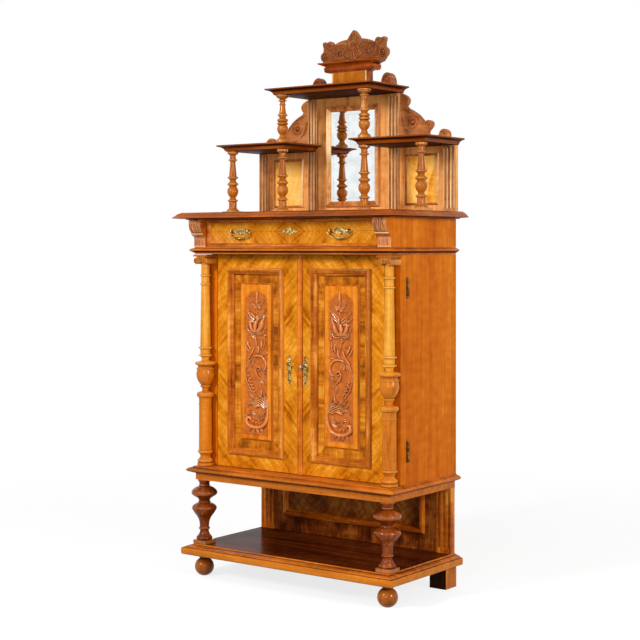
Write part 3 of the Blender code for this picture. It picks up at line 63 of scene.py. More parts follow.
# Shapes of moulded edges, bottom to top: setback from the nose, and share of the thickness
BASE_SHELF_EDGE = (
    (0.005, 0.0), (0.0, 0.12), (0.0, 0.62), (0.007, 0.66), (0.012, 0.78), (0.024, 0.88),
    (0.030, 0.90), (0.034, 1.0),
)
BOTTOM_EDGE = (
    (0.026, 0.0), (0.026, 0.47), (0.019, 0.51), (0.013, 0.56), (0.004, 0.62), (0.0, 0.70),
    (0.0, 0.78), (0.008, 0.88), (0.018, 0.94), (0.020, 1.0),
)
DRAWER_BOARD_EDGE = (
    (0.016, 0.0), (0.014, 0.18), (0.006, 0.36), (0.0, 0.50), (0.0, 0.64), (0.006, 0.80),
    (0.014, 0.88), (0.015, 1.0),
)
TOP_EDGE = (
    (0.040, 0.0), (0.036, 0.12), (0.012, 0.17), (0.002, 0.20), (0.0, 0.28), (0.004, 0.40),
    (0.016, 0.80), (0.024, 0.94), (0.025, 1.0),
)
GALLERY_SHELF_EDGE = (
    (0.029, 0.0), (0.025, 0.12), (0.021, 0.42), (0.014, 0.62), (0.004, 0.74), (0.0, 0.80),
    (0.0, 0.96), (0.002, 1.0),
)
CORNICE_EDGE = (
    (0.030, 0.0), (0.026, 0.25), (0.014, 0.50), (0.003, 0.72), (0.0, 0.80), (0.0, 0.94), (0.002, 1.0),
)

# Turned profiles, top to bottom: height, radius, and bulge of the stretch that ends there
LEG_PROFILE = (
    (0.2465, 0.0250, 0.0), (0.2415, 0.0255, 0.0), (0.2365, 0.0215, -0.001), (0.2290, 0.0190, 0.0),
    (0.2270, 0.0205, 0.0), (0.2230, 0.0205, 0.0015), (0.2215, 0.0195, 0.0), (0.2123, 0.0390, 0.0025),
    (0.2026, 0.0488, 0.0012), (0.1961, 0.0510, 0.0), (0.1896, 0.0488, 0.0), (0.1798, 0.0358, 0.0008),
    (0.1717, 0.0244, -0.001), (0.1650, 0.0205, 0.0), (0.1635, 0.0225, 0.0), (0.1590, 0.0225, 0.0015),
    (0.1571, 0.0228, 0.0), (0.1506, 0.0374, 0.0015), (0.1441, 0.0455, 0.001), (0.1382, 0.0485, 0.0),
    (0.1278, 0.0455, 0.0008), (0.1148, 0.0374, 0.0), (0.1018, 0.0276, -0.0005), (0.0823, 0.0195, -0.001),
    (0.0640, 0.0180, 0.0), (0.0600, 0.0195, 0.0), (0.0545, 0.0195, 0.003), (0.0510, 0.0175, 0.0),
    (0.0480, 0.0172, 0.0), (0.0254, 0.0295, -0.003), (0.0170, 0.0300, 0.0015), (0.0130, 0.0285, 0.0),
)
COLUMN_PROFILE = (
    (0.8025, 0.0165, 0.0), (0.7435, 0.0165, 0.0), (0.7365, 0.0165, 0.0050), (0.7095, 0.0168, 0.0),
    (0.7025, 0.0168, 0.0050), (0.4620, 0.0205, 0.0), (0.4540, 0.0205, 0.0070), (0.4320, 0.0195, 0.0),
    (0.4240, 0.0195, 0.0075), (0.4160, 0.0150, 0.0), (0.4080, 0.0155, 0.0), (0.4030, 0.0360, 0.0),
    (0.3910, 0.0360, 0.0045), (0.3870, 0.0300, 0.0), (0.3810, 0.0300, -0.001), (0.3790, 0.0325, 0.0),
    (0.3730, 0.0325, 0.003), (0.3680, 0.0330, 0.0), (0.3120, 0.0170, 0.0085), (0.3040, 0.0165, 0.003),
    (0.2970, 0.0130, 0.0), (0.2890, 0.0135, 0.0), (0.2850, 0.0265, 0.0), (0.2650, 0.0265, 0.0075),
    (0.2600, 0.0255, 0.0), (0.2410, 0.0250, 0.0), (0.2360, 0.0250, 0.002), (0.0580, 0.0255, 0.0),
    (0.0480, 0.0255, 0.0045), (0.0400, 0.0215, 0.0), (0.0300, 0.0225, -0.002), (0.0240, 0.0265, 0.0),
    (0.0110, 0.0265, 0.0042), (0.0100, 0.0270, 0.0),
)
LOWER_BALUSTER_PROFILE = (
    (0.2486, 0.0220, 0.0), (0.2400, 0.0220, 0.0), (0.2330, 0.0120, -0.001), (0.2190, 0.0120, 0.0),
    (0.2110, 0.0120, 0.0065), (0.2030, 0.0105, 0.0), (0.1490, 0.0155, 0.0), (0.1400, 0.0155, 0.0065),
    (0.1310, 0.0120, 0.0), (0.1240, 0.0170, 0.0), (0.1130, 0.0170, 0.0055), (0.1070, 0.0145, 0.0),
    (0.1010, 0.0200, 0.0), (0.0650, 0.0110, 0.0060), (0.0570, 0.0150, 0.0), (0.0480, 0.0150, 0.006),
    (0.0460, 0.0155, 0.0), (0.0270, 0.0155, 0.0), (0.0140, 0.0255, -0.003), (0.0100, 0.0260, 0.0),
)
UPPER_BALUSTER_PROFILE = (
    (0.1840, 0.0270, 0.0), (0.1800, 0.0270, 0.0), (0.1780, 0.0225, 0.0), (0.1740, 0.0225, 0.001),
    (0.1700, 0.0130, -0.001), (0.1650, 0.0110, 0.0), (0.1600, 0.0110, 0.0070), (0.1560, 0.0100, 0.0),
    (0.1500, 0.0100, 0.0), (0.1460, 0.0100, 0.0035), (0.1110, 0.0145, -0.0005), (0.1020, 0.0145, 0.005),
    (0.0960, 0.0120, 0.0), (0.0900, 0.0200, 0.0), (0.0830, 0.0200, 0.0020), (0.0800, 0.0165, 0.0),
    (0.0760, 0.0205, 0.0), (0.0700, 0.0205, 0.0015), (0.0670, 0.0150, 0.0), (0.0640, 0.0195, 0.0),
    (0.0300, 0.0105, 0.0060), (0.0240, 0.0130, 0.0), (0.0120, 0.0240, -0.003), (0.0, 0.0260, 0.0),
)

# Sawn outlines, across and up. The corbel's runs out and up.
CORBEL_OUTLINE = (
    (0.006, 0.0), (0.006, 0.036), (0.010, 0.040), (0.018, 0.045), (0.022, 0.049), (0.020, 0.053),
    (0.025, 0.057), (0.034, 0.069), (0.038, 0.084), (0.038, 0.095), (0.036, 0.105),
)
SPLAT_OUTLINE = (
    (0.010, 0.182), (0.030, 0.171), (0.040, 0.157), (0.037, 0.142), (0.030, 0.134), (0.038, 0.124),
    (0.056, 0.115), (0.082, 0.098), (0.100, 0.080), (0.110, 0.070), (0.122, 0.074), (0.132, 0.074),
    (0.144, 0.068), (0.148, 0.058), (0.143, 0.046), (0.131, 0.034), (0.129, 0.024), (0.138, 0.015),
    (0.154, 0.012), (0.172, 0.015), (0.180, 0.030), (0.194, 0.038), (0.210, 0.034), (0.221, 0.022),
    (0.2215, 0.008),
)
CREST_OUTLINE = (
    (0.0, 0.125), (0.008, 0.120), (0.019, 0.107), (0.027, 0.096), (0.032, 0.090), (0.055, 0.087),
    (0.080, 0.080), (0.098, 0.0715), (0.101, 0.079), (0.108, 0.087), (0.118, 0.089), (0.130, 0.085),
    (0.139, 0.088), (0.148, 0.087), (0.152, 0.080), (0.149, 0.068), (0.147, 0.056), (0.151, 0.047),
    (0.159, 0.040), (0.162, 0.029), (0.159, 0.017), (0.151, 0.010), (0.148, 0.0),
)
CROWN_SCROLL_OUTLINE = (
    (0.070, 0.008), (0.124, 0.008), (0.136, 0.013), (0.139, 0.028), (0.146, 0.046), (0.162, 0.057),
    (0.179, 0.052), (0.190, 0.038), (0.195, 0.020), (0.196, 0.0),
)
PEDESTAL_EAR_OUTLINE = (
    (0.122, 0.0924), (0.122, 0.0814), (0.119, 0.0744), (0.112, 0.0714), (0.102, 0.0709), (0.096, 0.0734),
    (0.090, 0.0699), (0.080, 0.0694),
)


def srgb(red, green, blue):
    """A colour as seen on screen, in shares of 255, as linear values."""
    channels = [value / 255 for value in (red, green, blue)]
    linear = [c / 12.92 if c <= 0.04045 else ((c + 0.055) / 1.055) ** 2.4 for c in channels]
    return (*linear, 1.0)


BUMP_DEPTH = 0.0006


class Graph:
    """The nodes of one material."""

    def __init__(self, name):
        self.material = bpy.data.materials.new(name)
        self.material.use_nodes = True
        self.tree = self.material.node_tree
        self.shader = self.tree.nodes["Principled BSDF"]

    def put(self, socket, value):
        if isinstance(value, bpy.types.NodeSocket):
            self.tree.links.new(value, socket)
        else:
            socket.default_value = value

    def add(self, kind, inputs, **settings):
        made = self.tree.nodes.new(kind)
        for key, value in settings.items():
            setattr(made, key, value)
        for key, value in inputs.items():
            self.put(made.inputs[key], value)
        return made

    def calc(self, operation, *values):
        return self.add("ShaderNodeMath", dict(enumerate(values)), operation=operation).outputs[0]

    def apart(self, first, second):
        """How far two values lie apart."""
        return self.calc("ABSOLUTE", self.calc("SUBTRACT", first, second))

    def object_place(self):
        return self.add("ShaderNodeTexCoord", {}).outputs["Object"]

    def split(self, vector):
        return self.add("ShaderNodeSeparateXYZ", {0: vector}).outputs

    def noise(self, vector, scale, detail=2.0, output="Fac"):
        inputs = {"Vector": vector, "Scale": scale, "Detail": detail}
        return self.add("ShaderNodeTexNoise", inputs).outputs[output]

    def turned_scaled(self, vector, turn, scale):
        """The vector turned, then stretched along the new axes."""
        inputs = {"Vector": vector, "Rotation": turn, "Scale": [1 / s for s in scale]}
        return self.add("ShaderNodeMapping", inputs, vector_type="TEXTURE").outputs[0]

    def ramp(self, factor, stops):
        made = self.add("ShaderNodeValToRGB", {"Fac": factor})
        elements = made.color_ramp.elements
        while len(elements) < len(stops):
            elements.new(1.0)
        for element, (position, colour) in zip(elements, stops):
            element.position = position
            element.color = colour
        return made.outputs["Color"]

    def mix(self, factor, first, second, blend="MIX"):
        inputs = {0: factor, 6: first, 7: second}
        return self.add("ShaderNodeMix", inputs, data_type="RGBA", blend_type=blend).outputs[2]

    def span(self, value, low, high):
        """0 below low, 1 above high, straight between."""
        inputs = {"Value": value, "From Min": low, "From Max": high}
        return self.add("ShaderNodeMapRange", inputs, clamp=True).outputs[0]

    def folded(self, vector, centre_x, centre_z):
        """The vector mirrored about an upright and a level line, as in quartered veneer."""
        x, y, z = self.split(vector)
        inputs = {0: self.apart(x, centre_x), 1: y, 2: self.apart(z, centre_z)}
        return self.add("ShaderNodeCombineXYZ", inputs).outputs[0]

    def finish(self, colour, rough, bump_height, bump=0.2, specular=0.25, metallic=0.0):
        self.put(self.shader.inputs["Base Color"], colour)
        self.put(self.shader.inputs["Roughness"], rough)
        self.shader.inputs["Specular IOR Level"].default_value = specular
        self.shader.inputs["Metallic"].default_value = metallic
        if bump_height is not None:
            inputs = {"Height": bump_height, "Strength": bump, "Distance": BUMP_DEPTH}
            self.put(self.shader.inputs["Normal"], self.add("ShaderNodeBump", inputs).outputs[0])
        return self.material


# Figure of wood: frequency along and across the grain, as shares of the wood's own, and noise detail
STREAK = (1.0, 1.0, 3.0)
FIBRE = (5.0, 7.0, 2.0)
MOTTLE = (1.2, 0.22, 3.0)
RIPPLE = (16.0, 0.4, 2.0)
PLAIN_FIGURE = (0.7, 0.7, 0.9, 0.6)
PLAIN_GRAIN = (55.0, 2.2, 0.012)
SEAM_TONE = (70, 26, 4)
DOOR_STILE = 0.392
SMOOTH_FIGURE = (0.6, 0.4, 0.6, 0.3)

# Where the tones of a ramp start, and how far they run
RAMP_START = 0.16
RAMP_RUN = 0.68

# Lines in veneer, pores and plank gaps: where a line fades, and shares of its tone
BORDER_LINE = (0.0014, 0.0007)
JOINT_LINE = (0.0008, 0.0003)
JOINT_SHARE = 0.7
PORE_SPAN = (0.60, 0.72)
PORE_SHARE = 0.35
PLANK_GAP = 0.0012
PLANK_TONE = (40, 24, 12)

# Painted shade in hollows and painted highlight on crowns: reach of a hollow, the openness and the pointiness
# that they span
HOLLOW_REACH = 0.008
HOLLOW_SPAN = (0.92, 0.35)
CROWN_SPAN = (0.52, 0.60)
CROWN_SHARE = 0.65


def grain_fields(graph, place, grain, tilt, across, along, wander):
    """Streaks, fibres, mottling and cross ripple along a grain direction, each about 0 to 1."""
    drift = graph.noise(place, 6.0, 1.0, "Color")
    shift = graph.add("ShaderNodeVectorMath", {0: drift, 1: (0.5, 0.5, 0.5)}, operation="SUBTRACT").outputs[0]
    sway = graph.add("ShaderNodeVectorMath", {0: shift, "Scale": wander}, operation="SCALE").outputs[0]
    bent = graph.add("ShaderNodeVectorMath", {0: place, 1: sway}, operation="ADD").outputs[0]
    fields = []
    for lengthwise, crosswise, detail in (STREAK, FIBRE, MOTTLE, RIPPLE):
        scale = [along * lengthwise if axis == grain else across * crosswise for axis in "xyz"]
        fields.append(graph.noise(graph.turned_scaled(bent, (0.0, tilt, 0.0), scale), 1.0, detail))
    return fields


def grain_value(graph, fields, weights):
    """The fields weighed about their middle into one value around 0.5."""
    total = 0.5 - 0.5 * sum(weights)
    for field, weight in zip(fields, weights):
        total = graph.calc("MULTIPLY_ADD", field, weight, total)
    return total


def tone_stops(tones):
    """Stops of a colour ramp from dark to light."""
    last = len(tones) - 1
    return [(RAMP_START + RAMP_RUN * i / last, srgb(*tone)) for i, tone in enumerate(tones)]


def wood(
    name, tones, grain="z", fold=None, tilt=0.0, across=60.0, along=4.0, wander=0.02,
    weights=(1.2, 0.7, 1.2, 0.5), rough=0.36, specular=0.06, bump=0.18, painted_shade_and_highlight=0.0, planks=0.0,
    border=None, joint=None,
):
    """Polished wood: tones from dark to light along the grain, pores, painted shade in hollows and a painted
    highlight on convex edges.

    A border gives a distance aside of the middle, past which the wood has upright grain and other tones,
    and a joint gives the level of a seam in the veneer.
    """
    graph = Graph(name)
    place = graph.object_place()
    source = graph.folded(place, *fold) if fold else place
    fields = grain_fields(graph, source, grain, tilt, across, along, wander)
    colour = graph.ramp(grain_value(graph, fields, weights), tone_stops(tones))
    if border:
        reach, outer_tones = border
        aside = graph.calc("ABSOLUTE", graph.split(place)[0])
        outer_fields = grain_fields(graph, place, "z", 0.0, *PLAIN_GRAIN)
        outer = graph.ramp(grain_value(graph, outer_fields, PLAIN_FIGURE), tone_stops(outer_tones))
        colour = graph.mix(graph.calc("GREATER_THAN", aside, reach), colour, outer)
        line = graph.span(graph.apart(aside, reach), *BORDER_LINE)
        colour = graph.mix(line, colour, srgb(*SEAM_TONE))
    if joint:
        off_joint = graph.apart(graph.split(place)[2], joint)
        seam = graph.calc("MULTIPLY", graph.span(off_joint, *JOINT_LINE), JOINT_SHARE)
        colour = graph.mix(seam, colour, srgb(*SEAM_TONE))
    pores = graph.span(fields[1], *PORE_SPAN)
    colour = graph.mix(graph.calc("MULTIPLY", pores, PORE_SHARE), colour, srgb(*tones[0]), "MULTIPLY")
    if planks:
        x = graph.split(place)[0]
        seam = graph.calc("PINGPONG", x, planks / 2)
        colour = graph.mix(graph.span(seam, 0.0, PLANK_GAP), srgb(*PLANK_TONE), colour)
    # Painted shade darkens hollows by how open they are, and a painted highlight lightens convex crowns by
    # their pointiness
    if painted_shade_and_highlight:
        inputs = {"Distance": HOLLOW_REACH}
        openness = graph.add("ShaderNodeAmbientOcclusion", inputs, samples=6, only_local=True).outputs["AO"]
        hollow = graph.span(openness, *HOLLOW_SPAN)
        colour = graph.mix(graph.calc("MULTIPLY", hollow, painted_shade_and_highlight), colour, srgb(*tones[0]), "MULTIPLY")
        point = graph.add("ShaderNodeNewGeometry", {}).outputs["Pointiness"]
        crown = graph.span(point, *CROWN_SPAN)
        colour = graph.mix(graph.calc("MULTIPLY", crown, painted_shade_and_highlight * CROWN_SHARE), colour, srgb(*tones[-1]))
    shine = graph.calc("MULTIPLY_ADD", fields[1], rough * 0.6, rough * 0.7)
    return graph.finish(colour, shine, fields[1], bump, specular)


def crossbanded(name, tones, middle, half):
    """Border veneer whose grain runs square to the nearest edge of an upright panel."""
    graph = Graph(name)
    place = graph.object_place()
    x, _, z = graph.split(place)
    aside = graph.calc("SUBTRACT", graph.apart(x, middle[0]), half[0])
    above = graph.calc("SUBTRACT", graph.apart(z, middle[1]), half[1])
    upright = graph.calc("GREATER_THAN", aside, above)
    level, standing = [grain_fields(graph, place, grain, 0.0, 60.0, 5.0, 0.015) for grain in "xz"]
    fields = []
    for one, other in zip(standing, level):
        chosen = graph.add("ShaderNodeMix", {0: upright, 2: one, 3: other}, data_type="FLOAT").outputs[0]
        fields.append(chosen)
    colour = graph.ramp(grain_value(graph, fields, (1.1, 0.6, 2.0, 0.6)), tone_stops(tones))
    shine = graph.calc("MULTIPLY_ADD", fields[1], 0.2, 0.28)
    return graph.finish(colour, shine, fields[1], 0.15, 0.06)


def metal(name, tones, rough, scale=90.0, bump=0.25):
    """Worn metal with tarnish in its hollows."""
    graph = Graph(name)
    place = graph.object_place()
    patch = graph.noise(place, scale, 4.0)
    speck = graph.noise(place, scale * 9, 2.0)
    value = grain_value(graph, (patch, speck), (1.6, 0.5))
    point = graph.add("ShaderNodeNewGeometry", {}).outputs["Pointiness"]
    lifted = graph.calc("ADD", value, graph.calc("MULTIPLY_ADD", point, 2.0, -1.0))
    colour = graph.ramp(lifted, [(0.2, srgb(*tones[0])), (0.5, srgb(*tones[1])), (0.8, srgb(*tones[2]))])
    shine = graph.calc("MULTIPLY_ADD", patch, 0.3, rough - 0.15)
    return graph.finish(colour, shine, speck, bump, 0.5, 1.0)


def silvered(name):
    """Old mirror glass: bright, with faint clouding."""
    graph = Graph(name)
    cloud = graph.noise(graph.object_place(), 28.0, 5.0)
    colour = graph.ramp(cloud, [(0.30, srgb(226, 231, 232)), (0.62, srgb(244, 247, 248))])
    shine = graph.calc("MULTIPLY_ADD", cloud, 0.02, 0.0)
    return graph.finish(colour, shine, None, 0.0, 0.5, 1.0)


# Tones of the woods, dark to light
RED_TONES = ((96, 38, 8), (150, 68, 14), (186, 92, 20), (212, 122, 40))
BOLECTION_TONES = ((112, 46, 4), (170, 84, 14), (194, 108, 26), (232, 158, 68))
TOP_TONES = ((78, 26, 2), (128, 50, 6), (156, 70, 10), (192, 102, 30))
# Noses of the gallery shelves: darkened to paint the shade on their downward-facing profile
SHELF_PAINTED_SHADE_TONES = ((60, 18, 1), (94, 33, 2), (116, 46, 5), (158, 82, 22))
# Undersides of the moulded boards: dark tones that paint the shade under them
UNDERSIDE_PAINTED_SHADE_TONES = ((30, 8, 1), (52, 18, 4), (68, 26, 7), (90, 40, 14))
GOLD_TONES = ((114, 42, 2), (170, 76, 6), (195, 96, 12), (224, 140, 44))
# Pale look for arrises, beads and slips: a painted highlight
ARRIS_PAINTED_HIGHLIGHT_TONES = ((166, 100, 46), (212, 148, 82), (232, 176, 112), (252, 214, 160))
HONEY_TONES = ((158, 80, 4), (202, 118, 14), (220, 140, 28), (240, 168, 60))
SIDE_TONES = ((178, 82, 4), (200, 100, 8), (212, 112, 14), (226, 132, 32))
TURNED_TONES = ((104, 44, 4), (158, 84, 16), (182, 104, 28), (240, 180, 104))
SHAFT_TONES = ((150, 72, 6), (212, 136, 30), (230, 158, 50), (255, 210, 122))
VASE_TONES = ((130, 56, 2), (192, 104, 10), (212, 124, 20), (246, 184, 88))
FOOT_TONES = ((92, 38, 4), (142, 72, 12), (168, 90, 18), (220, 150, 76))
DEEP_TONES = ((66, 20, 2), (110, 43, 4), (136, 60, 10), (214, 136, 72))
CARVED_TONES = ((100, 36, 2), (196, 92, 14), (220, 116, 28), (255, 200, 130))
CREST_TONES = ((54, 16, 1), (106, 41, 2), (132, 58, 6), (226, 150, 84))
CORBEL_TONES = ((80, 28, 2), (146, 64, 8), (178, 88, 18), (250, 186, 116))
BRACKET_TONES = ((104, 48, 14), (152, 82, 36), (172, 100, 48), (204, 132, 78))
BOSS_TONES = ((60, 16, 2), (110, 38, 6), (140, 58, 14), (180, 96, 44))
PINE_TONES = ((176, 128, 72), (206, 164, 104), (220, 184, 126), (234, 204, 152))

TURNING = {
    "across": 60.0, "along": 4.0, "weights": SMOOTH_FIGURE, "rough": 0.14, "specular": 0.17, "bump": 0.05,
    "painted_shade_and_highlight": 0.9,
}
MOULDING = {
    "across": 70.0, "along": 4.0, "wander": 0.01, "rough": 0.26, "specular": 0.07, "bump": 0.1, "painted_shade_and_highlight": 0.8,
}
CARVING = {
    "across": 60.0, "along": 5.0, "wander": 0.03, "weights": SMOOTH_FIGURE, "rough": 0.22, "specular": 0.4,
    "bump": 0.06, "painted_shade_and_highlight": 0.9,
}
SAWN = {
    "across": 60.0, "along": 5.0, "wander": 0.03, "rough": 0.4, "specular": 0.04, "bump": 0.1, "painted_shade_and_highlight": 0.9,
}
PLAIN = {
    "across": PLAIN_GRAIN[0], "along": PLAIN_GRAIN[1], "wander": PLAIN_GRAIN[2],
    "weights": PLAIN_FIGURE, "rough": 0.4, "specular": 0.04,
}

LOOKS = {
    "door_veneer": wood(
        "door_veneer", HONEY_TONES, "z", (0.0, DOOR_MIDDLE_Z), math.radians(-40), 96.0, 8.0, 0.05,
        (0.8, 0.6, 1.2, 0.5), 0.33, 0.04, border=(DOOR_STILE, SIDE_TONES),
    ),
    "drawer_veneer": wood(
        "drawer_veneer", ((150, 78, 2), (194, 110, 10), (210, 130, 26), (232, 162, 58)), "z",
        (0.0, DRAWER_MIDDLE_Z), math.radians(-42), 90.0, 8.0, 0.05, (0.8, 0.6, 1.2, 0.5), 0.33, 0.04,
        joint=DRAWER_MIDDLE_Z,
    ),
    "side_veneer": wood("side_veneer", SIDE_TONES, **PLAIN),
    "gallery_veneer": wood(
        "gallery_veneer", ((202, 122, 32), (248, 178, 70), (253, 196, 96), (255, 214, 128)), "z",
        None, math.radians(12), 40.0, 4.0, 0.05, (0.9, 0.5, 0.9, 0.5), 0.35, 0.05,
    ),
    "gallery_ground": wood(
        "gallery_ground", ((170, 98, 40), (226, 150, 78), (240, 170, 96), (252, 194, 120)), **PLAIN
    ),
    "pilaster": wood(
        "pilaster", ((96, 50, 20), (160, 98, 50), (186, 124, 72), (214, 156, 104)), "z", None, 0.0, 60.0, 3.0,
        0.01, rough=0.24, specular=0.1, painted_shade_and_highlight=0.8,
    ),
    "arris_painted_highlight": wood("arris_painted_highlight", ARRIS_PAINTED_HIGHLIGHT_TONES, "z", **MOULDING),
    "moulding": wood("moulding", RED_TONES, "x", **MOULDING),
    "moulding_z": wood("moulding_z", RED_TONES, "z", **MOULDING),
    "door_stile_moulding": wood("door_stile_moulding", BOLECTION_TONES, "z", **MOULDING),
    "door_rail_moulding": wood("door_rail_moulding", BOLECTION_TONES, "x", **MOULDING),
    "gold_moulding": wood("gold_moulding", GOLD_TONES, "x", **MOULDING),
    "gold_moulding_z": wood("gold_moulding_z", GOLD_TONES, "z", **MOULDING),
    "top_nose": wood("top_nose", TOP_TONES, "x", **MOULDING),
    "shelf_nose": wood("shelf_nose", SHELF_PAINTED_SHADE_TONES, "x", **MOULDING),
    # Dark look for the undersides of boards: painted shade
    "under": wood("under", UNDERSIDE_PAINTED_SHADE_TONES, "x", None, 0.0, 50.0, 3.0, 0.02, rough=0.5, specular=0.04),
    "board_top": wood(
        "board_top", ((52, 14, 2), (76, 26, 6), (92, 36, 10), (112, 50, 18)), "x", None, 0.0, 40.0, 2.4, 0.02,
        rough=0.2, specular=0.012,
    ),
    "turned": wood("turned", TURNED_TONES, "z", **TURNING),
    "shaft": wood("shaft", SHAFT_TONES, "z", **TURNING),
    "vase": wood("vase", VASE_TONES, "z", **TURNING),
    "mirror_moulding": wood(
        "mirror_moulding", ((110, 50, 12), (158, 86, 34), (182, 106, 48), (214, 140, 76)), "z", **MOULDING
    ),
    "frieze": wood("frieze", ((120, 58, 6), (168, 94, 18), (184, 110, 28), (206, 136, 50)), "z", **PLAIN),
    "foot": wood("foot", FOOT_TONES, "z", **TURNING),
    "turned_dark": wood("turned_dark", DEEP_TONES, "z", **TURNING),
    # Dark look for the back feet's front faces: painted shade
    "foot_painted_shade": wood("foot_painted_shade", ((22, 9, 2), (40, 18, 5), (56, 28, 9)), "z", rough=0.5, specular=0.03),
    "carved": wood("carved", CARVED_TONES, "z", **CARVING),
    "carved_margin": wood(
        "carved_margin", ((190, 98, 14), (220, 124, 28), (230, 138, 36), (240, 156, 58)), "z", None, 0.0,
        60.0, 4.0, 0.02, rough=0.36, specular=0.05,
    ),
    "carved_edge": wood(
        "carved_edge", ((160, 74, 12), (198, 106, 32), (212, 120, 42), (224, 136, 56)), "z", None, 0.0,
        60.0, 4.0, 0.02, rough=0.4, specular=0.05,
    ),
    "carved_ground": wood(
        "carved_ground", ((112, 44, 6), (184, 96, 36), (200, 110, 48), (212, 124, 60)), "z", None, 0.0,
        160.0, 60.0, 0.01, (0.6, 0.6, 0.8, 0.3), rough=0.5, specular=0.04, bump=0.4, painted_shade_and_highlight=0.9,
    ),
    "crest": wood("crest", CREST_TONES, "x", **{**CARVING, "specular": 0.14}),
    "corbel": wood("corbel", CORBEL_TONES, "z", **CARVING),
    "bracket": wood("bracket", BRACKET_TONES, "x", **SAWN),
    "boss": wood("boss", BOSS_TONES, "x", **TURNING),
    "panel_dark": wood(
        "panel_dark", ((70, 30, 6), (118, 58, 15), (146, 80, 25), (186, 116, 48)), "z", (0.0, 0.1),
        math.radians(50), 40.0, 4.0, 0.04, (0.9, 0.6, 1.8, 0.8), 0.34, 0.04,
    ),
    "panel_rail": wood(
        "panel_rail", ((60, 20, 4), (102, 42, 9), (132, 62, 16), (172, 94, 32)), "x", None, 0.0,
        50.0, 12.0, 0.06, (0.6, 0.5, 2.2, 0.8), 0.34, 0.04,
    ),
    "strip": wood("strip", ((150, 72, 14), (200, 106, 28), (216, 122, 38), (232, 146, 60)), "z", rough=0.24),
    "lip": wood("lip", ((128, 56, 8), (182, 92, 20), (204, 114, 36), (222, 142, 62)), "x", rough=0.3),
    "pine": wood(
        "pine", PINE_TONES, "z", None, 0.0, 34.0, 1.6, 0.02, rough=0.62, specular=0.15, planks=0.174
    ),
    "pine_x": wood("pine_x", PINE_TONES, "x", None, 0.0, 34.0, 1.6, 0.02, rough=0.62, specular=0.15),
    # Dark inlay for the drawer's stringing, also used as painted shade in the escutcheons' piercings
    "stringing_and_hole_shade": wood("stringing_and_hole_shade", ((70, 26, 4), (110, 48, 10), (136, 66, 18)), "x", None, 0.0, 90.0, 8.0),
    "brass": metal("brass", ((58, 44, 18), (136, 108, 56), (206, 172, 108)), 0.38),
    "bronze": metal("bronze", ((40, 22, 8), (84, 54, 24), (140, 100, 52)), 0.38),
    "steel": metal("steel", ((70, 66, 58), (128, 122, 110), (186, 180, 166)), 0.38),
    # Near-black look for keyholes: painted shade
    "hole_painted_shade": wood("hole_painted_shade", ((14, 8, 4), (24, 14, 8), (34, 22, 12)), "z", rough=0.8, specular=0.1),
    "mirror": silvered("mirror"),
}


def curve(points, steps=6):
    """Points on a smooth line through the points given."""
    given = [Vector(p) for p in points]
    line = []
    for i in range(len(given) - 1):
        start, end = given[i], given[i + 1]
        leaving = (end - given[max(i - 1, 0)]) / 2
        arriving = (given[min(i + 2, len(given) - 1)] - start) / 2
        for step in range(steps):
            t = step / steps
            along = start.lerp(end, t * t * (3 - 2 * t))
            line.append(along + leaving * t * (1 - t) ** 2 - arriving * t * t * (1 - t))
    line.append(given[-1])
    return line


def smooth(points, steps):
    """A smooth line through the points given, as plain tuples."""
    return [tuple(p) for p in curve(points, steps)]


def add_loft(bm, rings, closed=False, index=0):
    """A closed skin through rings of points. A closed one runs back to its first ring."""
    loops = [[bm.verts.new(point) for point in ring] for ring in rings]
    following = loops[1:] + (loops[:1] if closed else [])
    made = []
    for lower, upper in zip(loops, following):
        for i in range(len(lower)):
            j = (i + 1) % len(lower)
            made.append(bm.faces.new((lower[i], lower[j], upper[j], upper[i])))
    if not closed:
        made.append(bm.faces.new(loops[0]))
        made.append(bm.faces.new(loops[-1]))
    for face in made:
        face.material_index = index
    return made


def add_box(bm, x_range, y_range, z_range, index=0):
    (left, right), (near, far) = sorted(x_range), sorted(y_range)
    ring = [(left, near), (right, near), (right, far), (left, far)]
    return add_loft(bm, [[(x, y, z) for x, y in ring] for z in sorted(z_range)], index=index)


def circle(centre, radius, count):
    """Points on a circle about the first two values of a place."""
    angles = [math.tau * k / count for k in range(count)]
    return [(centre[0] + radius * math.cos(a), centre[1] + radius * math.sin(a)) for a in angles]


def add_lathe(bm, points, centre, segments=56, index=0):
    """A turned solid from points of radius and height about an upright axis."""
    rings = []
    for radius, level in points:
        rings.append([(x, y, centre[2] + level) for x, y in circle(centre, radius, segments)])
    return add_loft(bm, rings, index=index)


def turned_line(profile, height, base=0.0, steps=8):
    """A turned profile stretched between its plinth and a height, with its bulges rounded."""
    bottom = profile[-1][0]
    scale = (height - base) / (profile[0][0] - bottom)
    points = []
    for i, (level, radius, bulge) in enumerate(profile):
        if bulge:
            upper, wide, _ = profile[i - 1]
            full = abs(bulge) > 0.3 * (upper - level)
            for step in range(1, steps):
                share = step / steps
                t = (1 - math.cos(math.pi * share)) / 2 if full else share
                swell = bulge * (math.sin(math.pi * share) if full else 4 * t * (1 - t))
                middle = upper + (level - upper) * t
                points.append((wide + (radius - wide) * t + swell, base + (middle - bottom) * scale))
        points.append((radius, base + (level - bottom) * scale))
    return points


def upright_ring(x_range, z_range, inset, y):
    left, right = min(x_range) + inset, max(x_range) - inset
    low, high = min(z_range) + inset, max(z_range) - inset
    return [(left, y, low), (right, y, low), (right, y, high), (left, y, high)]


def insets(face, x_range, z_range):
    """How far a face of an upright frame lies in from the frame's sides, and from its top or bottom."""
    x, _, z = face.calc_center_median()
    return min(x - min(x_range), max(x_range) - x), min(z - min(z_range), max(z_range) - z)


